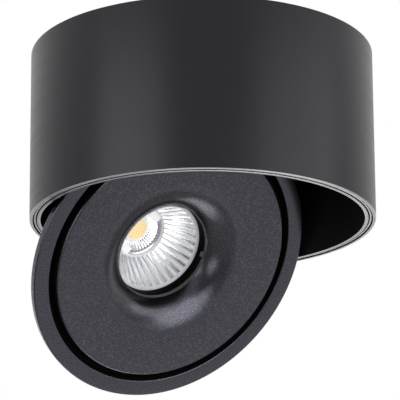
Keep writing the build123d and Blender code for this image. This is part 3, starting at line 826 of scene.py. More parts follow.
class Finishes:
    """All finishes of the lamp, by name."""

    DRUM = Finish(
        "drum_satin_black", "drum_black", color=(0.0040, 0.0038, 0.0048), roughness=0.34,
        pattern=Pattern.TURNED, fineness=1500.0, depth=0.002, tone=0.08, gloss=0.02, specular=0.26,
        sheen_tint=(0.93, 0.9, 1.0))
    CUP = Finish(
        "cup_matt_black", "cup_black", color=(0.004, 0.004, 0.0045), roughness=0.5,
        pattern=Pattern.GRAIN, fineness=1300.0, depth=0.01, tone=0.1, gloss=0.05, specular=0.15)
    RIM = Finish(
        "rim_machined", "bare_aluminium", color=(0.48, 0.48, 0.49), roughness=0.30,
        pattern=Pattern.TURNED, fineness=5200.0, depth=0.004, tone=0.12, gloss=0.06, metallic=1.0)
    COAT = Finish(
        "head_textured_black", "head_black", color=(0.0028, 0.0028, 0.0034), roughness=0.21,
        pattern=Pattern.GRAIN, fineness=1600.0, depth=0.05, tone=0.08, gloss=0.03, fleck=0.6,
        sparkle=0.78, specular=0.60, sheen_tint=(0.81, 0.80, 1.0), on_head=True)
    # Painted shade: a darker, matt, barely reflecting black on the groove's walls stands in for the shade
    # deep in the gap; the real walls carry the same coat as the face
    GROOVE_PAINTED_SHADE = Finish(
        "groove_painted_shade", "head_black", color=(0.0025, 0.0025, 0.0028), roughness=0.85,
        pattern=Pattern.GRAIN, fineness=1500.0, depth=0.02, tone=0.1, gloss=0.05, specular=0.05,
        on_head=True)
    TUBE = Finish(
        "tube_matt_black", "tube_black", color=(0.0008, 0.0008, 0.0008), roughness=0.6,
        pattern=Pattern.TURNED, fineness=3000.0, depth=0.003, tone=0.15, gloss=0.05, specular=0.03,
        on_head=True)
    LIP = Finish(
        "lip_cut_edge", "tube_black", color=(0.054, 0.051, 0.050), roughness=0.38,
        pattern=Pattern.TURNED, fineness=4000.0, depth=0.003, tone=0.2, gloss=0.06, on_head=True)
    MIRROR = Finish(
        "reflector_bright", "reflector_silver", color=(0.86, 0.864, 0.88), roughness=0.08,
        pattern=Pattern.GRAIN, fineness=600.0, depth=0.002, tone=0.04, gloss=0.03, metallic=1.0,
        on_head=True)
    SINK = Finish(
        "sink_black_anodised", "sink_black", color=(0.035, 0.035, 0.038), roughness=0.42,
        pattern=Pattern.BRUSHED, fineness=2600.0, depth=0.004, tone=0.2, gloss=0.06, metallic=0.6,
        on_head=True)
    ZINC = Finish(
        "zinc_plated_steel", "zinc_steel", color=(0.52, 0.525, 0.52), roughness=0.52,
        pattern=Pattern.BRUSHED, fineness=2400.0, depth=0.004, tone=0.06, gloss=0.04, metallic=1.0)
    BLACK_STEEL = Finish(
        "black_oxide_steel", "black_steel", color=(0.028, 0.028, 0.030), roughness=0.42,
        pattern=Pattern.GRAIN, fineness=2200.0, depth=0.006, tone=0.2, gloss=0.07, metallic=0.5)
    RUBBER = Finish(
        "grommet_rubber", "rubber_black", color=(0.018, 0.018, 0.018), roughness=0.68,
        pattern=Pattern.GRAIN, fineness=2600.0, depth=0.012, tone=0.2, gloss=0.08, specular=0.35)
    WHITE = Finish(
        "white_moulding", "white_plastic", color=(0.90, 0.90, 0.89), roughness=0.45,
        pattern=Pattern.GRAIN, fineness=1900.0, depth=0.008, tone=0.03, gloss=0.06)
    NYLON = Finish(
        "natural_nylon", "nylon", color=(0.74, 0.72, 0.66), roughness=0.42,
        pattern=Pattern.TURNED, fineness=2500.0, depth=0.004, tone=0.05, gloss=0.06)
    BRASS = Finish(
        "turned_brass", "brass", color=(0.72, 0.52, 0.22), roughness=0.3,
        pattern=Pattern.TURNED, fineness=3000.0, depth=0.004, tone=0.12, gloss=0.06, metallic=1.0)
    BOARD = Finish(
        "board_white_mask", "board_white", color=(0.82, 0.82, 0.80), roughness=0.35,
        pattern=Pattern.GRAIN, fineness=2500.0, depth=0.004, tone=0.05, gloss=0.05, on_head=True)
    DAM = Finish(
        "dam_silicone", "dam_white", color=(0.86, 0.86, 0.83), roughness=0.4,
        pattern=Pattern.GRAIN, fineness=2500.0, depth=0.01, tone=0.05, gloss=0.06, on_head=True)
    PAD = Finish(
        "thermal_pad", "pad_grey", color=(0.36, 0.37, 0.39), roughness=0.7,
        pattern=Pattern.GRAIN, fineness=1800.0, depth=0.02, tone=0.1, gloss=0.05, on_head=True)
    NECK = Finish(
        "neck_edge_grey", "reflector_silver", color=(0.46, 0.462, 0.485), roughness=0.20,
        pattern=Pattern.TURNED, fineness=3000.0, depth=0.004, tone=0.15, gloss=0.06, metallic=1.0,
        on_head=True)
    FLANGE = Finish(
        "reflector_rim_satin", "reflector_silver", color=(0.69, 0.69, 0.74), roughness=0.36,
        pattern=Pattern.TURNED, fineness=3000.0, depth=0.003, tone=0.06, gloss=0.05, metallic=0.15,
        on_head=True)
    PHOSPHOR = PhosphorFinish(
        "phosphor_yellow", "phosphor_yellow", color=(0.98, 0.81, 0.45), roughness=0.4, depth=0.05,
        tone=0.06, gloss=0.05, on_head=True)

    def __init__(self, placement: Placement) -> None:
        """Build every finish once.

        Args:
            placement: Frames of the drum and the head.
        """
        groups = SurfaceGroups()
        kinds = [value for value in vars(Finishes).values() if isinstance(value, Finish)]
        self.materials = {kind.name: kind.build(groups, placement) for kind in kinds}

    def of(self, *kinds: Finish) -> list[bpy.types.Material]:
        """Materials of the named finishes."""
        return [self.materials[kind.name] for kind in kinds]


# Trees that repeat a shape


@dataclass(frozen=True)
class Fastener:
    """Sizes of one round fastener, in the order of the tree's inputs.

    Attributes:
        head_radius: Radius of the head.
        head_height: Height of the head above its seat.
        socket_radius: Radius of the hexagon socket.
        shank_radius: Radius of the shank.
        shank_length: Length of the shank below the seat.
        tail_radius: Radius of the tail.
        tail_height: Length of the tail below the shank.
    """

    head_radius: float
    head_height: float
    socket_radius: float
    shank_radius: float
    shank_length: float
    tail_radius: float
    tail_height: float


class FastenerTree:
    """Geometry nodes that stand one round fastener on each point."""

    SIZES = ("Head Radius", "Head Height", "Socket Radius", "Shank Radius", "Shank Length",
             "Tail Radius", "Tail Height")
    ROD_SIDES = 24
    HEAD_SIDES = 40
    SOCKET_SIDES = 6
    # Share of the head below its sloped edge, and the top's width as a share of the head's
    HEAD_WALL = 0.8
    HEAD_TOP = 0.86

    def __init__(self) -> None:
        """Build the tree with its named sizes."""
        geometry = "NodeSocketGeometry"
        inputs = {"Geometry": geometry, **{key: "NodeSocketFloat" for key in self.SIZES},
                  "Material": "NodeSocketMaterial"}
        self.tree = new_group("round_fasteners", inputs, {"Geometry": geometry}, "GeometryNodeTree")
        sketch = NodeSketch(self.tree)
        given = sketch.node("NodeGroupInput")
        size = given.outputs
        head = self._head(sketch, size)
        shank = self._rod(sketch, size["Shank Radius"], size["Shank Length"],
                          sketch.math("MULTIPLY", size["Shank Length"], -0.5))
        half_tail = sketch.math("MULTIPLY", size["Tail Height"], 0.5)
        tail_depth = sketch.math("ADD", size["Shank Length"], half_tail)
        tail = self._rod(sketch, size["Tail Radius"], size["Tail Height"],
                         sketch.math("MULTIPLY", tail_depth, -1.0))
        whole = sketch.node("GeometryNodeJoinGeometry")
        for part in (tail, shank, head):
            sketch.feed(whole.inputs[0], part)
        self._repeat(sketch, size, whole.outputs[0])

    def _rod(self, sketch: NodeSketch, radius: Number, length: Number,
             middle: Number) -> bpy.types.NodeSocket:
        """Plain rod along Z about a level.

        Args:
            sketch: Sketch of the tree.
            radius: Radius of the rod.
            length: Length of the rod.
            middle: Level of its middle.

        Returns:
            The rod's socket.
        """
        rod = sketch.node("GeometryNodeMeshCylinder")
        rod.inputs["Vertices"].default_value = self.ROD_SIDES
        sketch.feed(rod.inputs["Radius"], radius)
        sketch.feed(rod.inputs["Depth"], length)
        moved = sketch.node("GeometryNodeTransform")
        sketch.feed(moved.inputs["Geometry"], rod.outputs["Mesh"])
        sketch.feed(moved.inputs["Translation"], sketch.joined(0.0, 0.0, middle))
        return moved.outputs[0]

    def _head(self, sketch: NodeSketch, size: Any) -> bpy.types.NodeSocket:
        """Head with a sloped upper edge and a hexagon socket.

        Args:
            sketch: Sketch of the tree.
            size: Sockets of the tree's sizes.

        Returns:
            The head's socket.
        """
        rod = sketch.node("GeometryNodeMeshCylinder")
        rod.inputs["Vertices"].default_value = self.HEAD_SIDES
        sketch.feed(rod.inputs["Radius"], size["Head Radius"])
        sketch.feed(rod.inputs["Depth"], sketch.math("MULTIPLY", size["Head Height"], self.HEAD_WALL))
        raised = sketch.node("GeometryNodeExtrudeMesh", mode="FACES")
        sketch.feed(raised.inputs["Mesh"], rod.outputs["Mesh"])
        sketch.feed(raised.inputs["Selection"], rod.outputs["Top"])
        sketch.feed(raised.inputs["Offset Scale"],
                    sketch.math("MULTIPLY", size["Head Height"], 1 - self.HEAD_WALL))
        raised.inputs["Individual"].default_value = False
        drawn = sketch.node("GeometryNodeScaleElements", domain="FACE")
        sketch.feed(drawn.inputs["Geometry"], raised.outputs["Mesh"])
        sketch.feed(drawn.inputs["Selection"], raised.outputs["Top"])
        drawn.inputs["Scale"].default_value = self.HEAD_TOP
        stood = sketch.node("GeometryNodeTransform")
        sketch.feed(stood.inputs["Geometry"], drawn.outputs[0])
        half_wall = sketch.math("MULTIPLY", size["Head Height"], self.HEAD_WALL / 2)
        sketch.feed(stood.inputs["Translation"], sketch.joined(0.0, 0.0, half_wall))
        key = sketch.node("GeometryNodeMeshCylinder")
        key.inputs["Vertices"].default_value = self.SOCKET_SIDES
        sketch.feed(key.inputs["Radius"], size["Socket Radius"])
        sketch.feed(key.inputs["Depth"], size["Head Height"])
        sunk = sketch.node("GeometryNodeTransform")
        sketch.feed(sunk.inputs["Geometry"], key.outputs["Mesh"])
        sketch.feed(sunk.inputs["Translation"], sketch.joined(0.0, 0.0, size["Head Height"]))
        bored = sketch.node("GeometryNodeMeshBoolean", operation="DIFFERENCE")
        sketch.feed(bored.inputs[0], stood.outputs[0])
        sketch.feed(bored.inputs[1], sunk.outputs[0])
        return bored.outputs[0]

    def _repeat(self, sketch: NodeSketch, size: Any, shape: bpy.types.NodeSocket) -> None:
        """Stand the shape on each point along its stored axis and finish the tree.

        Args:
            sketch: Sketch of the tree.
            size: Sockets of the tree's sizes.
            shape: Socket of one fastener.
        """
        points = sketch.node("GeometryNodeMeshToPoints")
        sketch.feed(points.inputs["Mesh"], size["Geometry"])
        axis = sketch.node("GeometryNodeInputNamedAttribute", data_type="FLOAT_VECTOR")
        axis.inputs["Name"].default_value = "axis"
        turn = sketch.node("FunctionNodeAlignRotationToVector", axis="Z")
        sketch.feed(turn.inputs["Vector"], axis.outputs[0])
        stood = sketch.node("GeometryNodeInstanceOnPoints")
        sketch.feed(stood.inputs["Points"], points.outputs[0])
        sketch.feed(stood.inputs["Instance"], shape)
        sketch.feed(stood.inputs["Rotation"], turn.outputs[0])
        real = sketch.node("GeometryNodeRealizeInstances")
        sketch.feed(real.inputs[0], stood.outputs[0])
        coated = sketch.node("GeometryNodeSetMaterial")
        sketch.feed(coated.inputs["Geometry"], real.outputs[0])
        sketch.feed(coated.inputs["Material"], size["Material"])
        sketch.feed(sketch.node("NodeGroupOutput").inputs[0], coated.outputs[0])

    def stand(self, name: str, places: Sequence[tuple[Vector, Vector]], frame: Matrix, kind: Fastener,
              material: bpy.types.Material) -> bpy.types.Object:
        """Make one piece with a fastener at each place.

        Args:
            name: Name of the piece.
            places: Seat and outward axis of each fastener, in the drawing frame.
            frame: Drawing frame in the packed model.
            kind: Sizes of each fastener.
            material: Material of the fasteners.

        Returns:
            The piece as a plain mesh.
        """
        mesh = bpy.data.meshes.new(name)
        mesh.from_pydata([frame @ seat for seat, _ in places], [], [])
        axes = mesh.attributes.new("axis", "FLOAT_VECTOR", "POINT")
        for item, (_, axis) in zip(axes.data, places):
            item.vector = (frame.to_3x3() @ axis).normalized()
        piece = bpy.data.objects.new(name, mesh)
        bpy.context.scene.collection.objects.link(piece)
        modifier = piece.modifiers.new("fasteners", "NODES")
        modifier.node_group = self.tree
        values: dict[str, Any] = {key: value * MM for key, value in zip(self.SIZES, astuple(kind))}
        values["Material"] = material
        set_inputs(modifier, values)
        freeze(piece)
        smooth(piece.data)
        return piece


def set_inputs(modifier: bpy.types.Modifier, values: dict[str, Any]) -> None:
    """Set a node modifier's inputs by their sockets' identifiers.

    Args:
        modifier: Modifier with a node group.
        values: Values by the sockets' names.
    """
    for item in modifier.node_group.interface.items_tree:
        if item.item_type == "SOCKET" and item.in_out == "INPUT" and item.name in values:
            modifier[item.identifier] = values[item.name]


class FluteTree:
    """Geometry nodes for a reflector bowl of rounded flutes, each divided into small pillows."""

    FLUTE_STEPS = 8
    PILLOW_STEPS = 3
    # Distance within which the points of the seam merge
    SEAM_PLAY = 1e-3

    def __init__(self) -> None:
        """Build the tree with its named sizes."""
        number, whole = "NodeSocketFloat", "NodeSocketInt"
        geometry = "NodeSocketGeometry"
        inputs = {"Geometry": geometry, "Flutes": whole, "Pillows": whole, "Rim Radius": number,
                  "Neck Radius": number, "Depth": number, "Flute Depth": number, "Pillow Height": number,
                  "Material": "NodeSocketMaterial"}
        self.tree = new_group("fluted_bowl", inputs, {"Geometry": geometry}, "GeometryNodeTree")
        sketch = NodeSketch(self.tree)
        size = sketch.node("NodeGroupInput").outputs
        grid = sketch.node("GeometryNodeMeshGrid")
        grid.inputs["Size X"].default_value = 1.0
        grid.inputs["Size Y"].default_value = 1.0
        for key, count, steps in (("Vertices X", size["Flutes"], self.FLUTE_STEPS),
                                  ("Vertices Y", size["Pillows"], self.PILLOW_STEPS)):
            cells = sketch.math("MULTIPLY", count, float(steps))
            sketch.feed(grid.inputs[key], sketch.math("ADD", cells, 1.0))
        bent = sketch.node("GeometryNodeSetPosition")
        sketch.feed(bent.inputs["Geometry"], grid.outputs["Mesh"])
        sketch.feed(bent.inputs["Position"], self._surface(sketch, size))
        merged = sketch.node("GeometryNodeMergeByDistance")
        sketch.feed(merged.inputs["Geometry"], bent.outputs[0])
        merged.inputs["Distance"].default_value = self.SEAM_PLAY
        joined = sketch.node("GeometryNodeJoinGeometry")
        sketch.feed(joined.inputs[0], merged.outputs[0])
        sketch.feed(joined.inputs[0], size["Geometry"])
        real = sketch.node("GeometryNodeRealizeInstances")
        sketch.feed(real.inputs[0], joined.outputs[0])
        coated = sketch.node("GeometryNodeSetMaterial")
        sketch.feed(coated.inputs["Geometry"], real.outputs[0])
        sketch.feed(coated.inputs["Material"], size["Material"])
        sketch.feed(sketch.node("NodeGroupOutput").inputs[0], coated.outputs[0])

    def _hollow(self, sketch: NodeSketch, share: Number, count: Number) -> bpy.types.NodeSocket:
        """Square of the place within one of many equal parts: 0 in its middle and 1 at its ends.

        Args:
            sketch: Sketch of the tree.
            share: Place along the whole, from 0 to 1.
            count: Number of parts.

        Returns:
            The result's socket.
        """
        cell = sketch.math("FRACT", sketch.math("MULTIPLY", share, count))
        away = sketch.math("SUBTRACT", sketch.math("MULTIPLY", cell, 2.0), 1.0)
        return sketch.math("MULTIPLY", away, away)

    def _surface(self, sketch: NodeSketch, size: Any) -> bpy.types.NodeSocket:
        """Place of each grid point on the fluted bowl.

        Args:
            sketch: Sketch of the tree.
            size: Sockets of the tree's sizes.

        Returns:
            The place's socket.
        """
        x, y, _ = sketch.split(sketch.node("GeometryNodeInputPosition").outputs[0])
        around = sketch.math("ADD", x, 0.5)
        along = sketch.math("ADD", y, 0.5)
        rim = sketch.math("POWER", size["Rim Radius"], 2.0)
        neck = sketch.math("POWER", size["Neck Radius"], 2.0)
        span = sketch.math("SUBTRACT", rim, neck)
        fall = sketch.math("MULTIPLY", span, sketch.math("SUBTRACT", 1.0, along))
        bowl = sketch.math("SQRT", sketch.math("ADD", neck, fall))
        scale = sketch.math("DIVIDE", bowl, size["Rim Radius"])
        valley = self._hollow(sketch, around, size["Flutes"])
        valley = sketch.math("MULTIPLY", valley, size["Flute Depth"])
        valley = sketch.math("MULTIPLY", valley, scale)
        swell = sketch.math("SUBTRACT", 1.0, self._hollow(sketch, along, size["Pillows"]))
        swell = sketch.math("MULTIPLY", swell, size["Pillow Height"])
        radius = sketch.math("SUBTRACT", sketch.math("ADD", bowl, valley), swell)
        angle = sketch.math("MULTIPLY", around, 2 * math.pi)
        across = sketch.math("MULTIPLY", radius, sketch.math("COSINE", angle))
        over = sketch.math("MULTIPLY", radius, sketch.math("SINE", angle))
        return sketch.joined(across, over, sketch.math("MULTIPLY", along, size["Depth"]))


# Sub-assemblies


@dataclass
class DrumHousing:
    """Drum with its pale rim, guide ring, ceiling plate, grommet and set screws."""

    radius: float = 70.0
    wall: float = 1.3
    height: float = 70.748
    rim_chamfer: float = 0.3
    mouth_edge: float = 0.08
    top_edge: float = 0.4
    deck_low: float = 47.998
    deck_top: float = 50.998
    deck_fillet: float = 0.8
    swivel_hole: float = 7.0
    guide_radius: float = 68.2
    guide_bore: float = 67.45
    guide_seat: float = 68.6
    guide_low: float = 0.4
    guide_step: tuple[float, float] = (3.0, 3.5)
    guide_top: float = 14.0
    plate_radius: float = 68.45
    plate_wall: float = 1.5
    plate_low: float = 68.748
    plate_bends: tuple[float, float] = (1.0, 0.9)
    flange_low: float = 58.748
    slot_spacing: float = 80.0
    slot_length: float = 14.0
    slot_width: float = 4.6
    slot_steps: int = 16
    slot_overcut: float = 1.0
    grommet_bore: float = 4.0
    grommet_neck: float = 7.95
    grommet_flange: float = 10.5
    grommet_low: float = 66.948
    grommet_edges: tuple[float, float, float] = (0.5, 0.7, 0.4)
    set_screw: Fastener = Fastener(
        head_radius=2.0, head_height=2.0, socket_radius=1.15, shank_radius=2.0, shank_length=3.0,
        tail_radius=1.2, tail_height=0.3)
    set_screw_angle: float = 142.7
    set_screw_level: float = 63.748
    set_screw_seat: float = 2.4
    set_screw_play: float = 0.2
    set_screw_overcut: float = 4.0

    def build(self, frame: Matrix, finishes: Finishes, fasteners: FastenerTree) -> None:
        """Build the drum's pieces.

        Args:
            frame: Frame of the drum.
            finishes: Materials.
            fasteners: Tree for the set screws.
        """
        self._shell(frame, finishes)
        self._guide(frame, finishes)
        self._plate(frame, finishes)
        self._grommet(frame, finishes)
        self._set_screws(frame, finishes, fasteners)

    def _shell(self, frame: Matrix, finishes: Finishes) -> None:
        """Drum wall with deck, machined rim and two set-screw holes.

        Args:
            frame: Frame of the drum.
            finishes: Materials.
        """
        bore = self.radius - self.wall
        chamfer = self.rim_chamfer
        outline = rounded([
            (bore, 0, self.mouth_edge), (self.radius - chamfer, 0, KEEN_EDGE),
            (self.radius, chamfer, KEEN_EDGE), (self.radius, self.height, self.top_edge),
            (bore, self.height, FINE_EDGE), (bore, self.deck_top, self.deck_fillet),
            (self.swivel_hole, self.deck_top, FINE_EDGE), (self.swivel_hole, self.deck_low, FINE_EDGE),
            (bore, self.deck_low, self.deck_fillet)])
        piece = place_piece("drum_shell", [lathe(outline, Segments.LARGE)], frame,
                            finishes.of(Finishes.DRUM, Finishes.RIM),
                            lambda middle: int(middle.z < chamfer))
        carve(piece, [self._set_screw_hole(frame, turn) for turn in (0, 180)])
        fit(piece, Body.HOUSING, Finishes.DRUM.slot, "housing_drum")

    def _set_screw_hole(self, frame: Matrix, turn: float) -> bpy.types.Object:
        """Cutter for one set-screw hole.

        Args:
            frame: Frame of the drum.
            turn: Turn about the axis in degrees.

        Returns:
            The cutter.
        """
        radius = self.set_screw.head_radius + self.set_screw_play
        reach = self.set_screw_overcut
        solid = lathe([(0, -reach), (radius, -reach), (radius, reach), (0, reach)], Segments.HOLE)
        lie = Matrix.Rotation(math.radians(90), 3, "Y")
        bmesh.ops.rotate(solid, verts=solid.verts, cent=(0, 0, 0), matrix=lie)
        bmesh.ops.translate(solid, verts=solid.verts, vec=(self.radius, 0, self.set_screw_level))
        spin = Matrix.Rotation(math.radians(self.set_screw_angle + turn), 3, "Z")
        bmesh.ops.rotate(solid, verts=solid.verts, cent=(0, 0, 0), matrix=spin)
        return place_piece("cutter", [solid], frame, [])

    def _guide(self, frame: Matrix, finishes: Finishes) -> None:
        """Thin pale ring between the drum's and the cup's rims.

        Args:
            frame: Frame of the drum.
            finishes: Materials.
        """
        step_low, step_top = self.guide_step
        outline = rounded([
            (self.guide_bore, self.guide_low, KEEN_EDGE), (self.guide_radius, self.guide_low, KEEN_EDGE),
            (self.guide_radius, step_low, FINE_EDGE), (self.guide_seat, step_top, FINE_EDGE),
            (self.guide_seat, self.guide_top, FINE_EDGE), (self.guide_bore, self.guide_top, FINE_EDGE)])
        piece = place_piece("mouth_guide", [lathe(outline, Segments.LARGE)], frame,
                            finishes.of(Finishes.RIM))
        fit(piece, Body.HOUSING, Finishes.RIM.slot, "guide_ring")

    def _plate(self, frame: Matrix, finishes: Finishes) -> None:
        """Pressed plate with two ceiling slots and the cable hole.

        Args:
            frame: Frame of the drum.
            finishes: Materials.
        """
        inner = self.plate_radius - self.plate_wall
        inside, outside = self.plate_bends
        outline = rounded([
            (self.grommet_neck, self.plate_low, FINE_EDGE), (inner, self.plate_low, inside),
            (inner, self.flange_low, EASED_EDGE), (self.plate_radius, self.flange_low, EASED_EDGE),
            (self.plate_radius, self.height, outside), (self.grommet_neck, self.height, FINE_EDGE)])
        piece = place_piece("ceiling_plate", [lathe(outline, Segments.LARGE)], frame,
                            finishes.of(Finishes.ZINC))
        carve(piece, [self._slot(frame, side) for side in (-1, 1)])
        fit(piece, Body.HOUSING, Finishes.ZINC.slot, "mounting_plate")

    def _slot(self, frame: Matrix, side: int) -> bpy.types.Object:
        """Cutter for one ceiling slot: a prism with half-round ends.

        Args:
            frame: Frame of the drum.
            side: Side of the axis, -1 or 1.

        Returns:
            The cutter.
        """
        half = self.slot_width / 2
        reach = self.slot_length / 2 - half
        flat = []
        for end, start in ((1, -90), (-1, 90)):
            for step in range(self.slot_steps + 1):
                x, y = on_circle(half, start + step * 180 / self.slot_steps)
                flat.append((side * self.slot_spacing / 2 + end * reach + x, y))
        solid = bmesh.new()
        low = [solid.verts.new((x, y, self.plate_low - self.slot_overcut)) for x, y in flat]
        high = [solid.verts.new((x, y, self.height + self.slot_overcut)) for x, y in flat]
        solid.faces.new(low)
        solid.faces.new(high)
        for i in range(len(flat)):
            j = (i + 1) % len(flat)
            solid.faces.new((low[i], low[j], high[j], high[i]))
        bmesh.ops.recalc_face_normals(solid, faces=solid.faces)
        return place_piece("cutter", [solid], frame, [])

    def _grommet(self, frame: Matrix, finishes: Finishes) -> None:
        """Rubber grommet with a rounded flange.

        Args:
            frame: Frame of the drum.
            finishes: Materials.
        """
        low_bore, low_rim, top_bore = self.grommet_edges
        outline = rounded([
            (self.grommet_bore, self.grommet_low, low_bore),
            (self.grommet_flange, self.grommet_low, low_rim),
            (self.grommet_flange, self.plate_low, FINE_EDGE),
            (self.grommet_neck, self.plate_low, HAIR_EDGE),
            (self.grommet_neck, self.height, HAIR_EDGE), (self.grommet_bore, self.height, top_bore)])
        piece = place_piece("cable_grommet_rubber", [lathe(outline, Segments.SMALL)], frame,
                            finishes.of(Finishes.RUBBER))
        fit(piece, Body.HOUSING, Finishes.RUBBER.slot, "cable_grommet")

    def _set_screws(self, frame: Matrix, finishes: Finishes, fasteners: FastenerTree) -> None:
        """Two socket set screws, sunk just below the drum's surface.

        Args:
            frame: Frame of the drum.
            finishes: Materials.
            fasteners: Tree for the set screws.
        """
        places = []
        for turn in (0, 180):
            x, y = on_circle(1.0, self.set_screw_angle + turn)
            out = Vector((x, y, 0))
            level = Vector((0, 0, self.set_screw_level))
            places.append((out * (self.radius - self.set_screw_seat) + level, out))
        piece = fasteners.stand("set_screws", places, frame, self.set_screw,
                                finishes.of(Finishes.BLACK_STEEL)[0])
        fit(piece, Body.HOUSING, Finishes.BLACK_STEEL.slot, "grub_screws")


@dataclass
class TurningCup:
    """Inner cup that turns in the drum, with its bracket screws and guide pins."""

    radius: float = 66.95
    bore: float = 65.5
    low: float = 0.2
    rim_zone: float = 0.03
    deck_low: float = 44.998
    deck_top: float = 46.998
    shoulder: float = 0.8
    inner_fillet: float = 2.5
    swivel_hole: float = 7.0
    tab_radius: float = 68.3
    tab_level: float = 39.5
    tab_half: float = 2.0
    tab_root: float = 0.5
    screw_x: float = 40.0
    screw_y: tuple[float, float] = (1.4, 18.6)
    bracket_wall: float = 2.0
    pin_places: tuple[tuple[float, float], ...] = ((12.096, 21.215), (14.031, 28.977))
    pin_seat: float = 29.4
    bracket_screw: Fastener = Fastener(
        head_radius=2.7, head_height=2.0, socket_radius=1.3, shank_radius=1.5, shank_length=3.6,
        tail_radius=1.2, tail_height=0.2)
    guide_pin: Fastener = Fastener(
        head_radius=3.6, head_height=1.8, socket_radius=0.6, shank_radius=2.0, shank_length=4.6,
        tail_radius=2.8, tail_height=1.2)

    def build(self, frame: Matrix, finishes: Finishes, fasteners: FastenerTree) -> None:
        """Build the cup and its fasteners.

        Args:
            frame: Frame of the drum.
            finishes: Materials.
            fasteners: Tree for screws and pins.
        """
        self._cup(frame, finishes)
        self._screws_and_pins(frame, finishes, fasteners)

    def _cup(self, frame: Matrix, finishes: Finishes) -> None:
        """Cup with a pale edge, a rounded bottom and the tab that meets the stop stud.

        Args:
            frame: Frame of the drum.
            finishes: Materials.
        """
        outline = rounded([
            (self.bore, self.low, FINE_EDGE), (self.radius, self.low, KEEN_EDGE),
            (self.radius, self.deck_top, self.shoulder), (self.swivel_hole, self.deck_top, FINE_EDGE),
            (self.swivel_hole, self.deck_low, FINE_EDGE), (self.bore, self.deck_low, self.inner_fillet)])
        tab = block((-self.tab_half, -self.tab_radius, self.tab_level - self.tab_half),
                    (self.tab_half, self.tab_root - self.radius, self.tab_level + self.tab_half), SOFT_EDGE)
        piece = place_piece("turning_cup", [lathe(outline, Segments.LARGE), tab], frame,
                            finishes.of(Finishes.CUP, Finishes.RIM),
                            lambda middle: int(middle.z < self.low + self.rim_zone))
        fit(piece, Body.TURNTABLE, Finishes.CUP.slot, "turntable_cup")

    def _screws_and_pins(self, frame: Matrix, finishes: Finishes, fasteners: FastenerTree) -> None:
        """Screws of the brackets and the pins on which the head slides.

        Args:
            frame: Frame of the drum.
            finishes: Materials.
            fasteners: Tree for screws and pins.
        """
        seat = self.deck_low - self.bracket_wall
        places = [(Vector((side * self.screw_x, y, seat)), Vector((0, 0, -1)))
                  for side in (-1, 1) for y in self.screw_y]
        screws = fasteners.stand("bracket_screw_set", places, frame, self.bracket_screw,
                                 finishes.of(Finishes.ZINC)[0])
        fit(screws, Body.TURNTABLE, Finishes.ZINC.slot, "bracket_screws")
        places = [(Vector((side * self.pin_seat, y, z)), Vector((-side, 0, 0)))
                  for side in (-1, 1) for y, z in self.pin_places]
        pins = fasteners.stand("guide_pin_set", places, frame, self.guide_pin,
                               finishes.of(Finishes.ZINC)[0])
        fit(pins, Body.TURNTABLE, Finishes.ZINC.slot, "guide_pins")


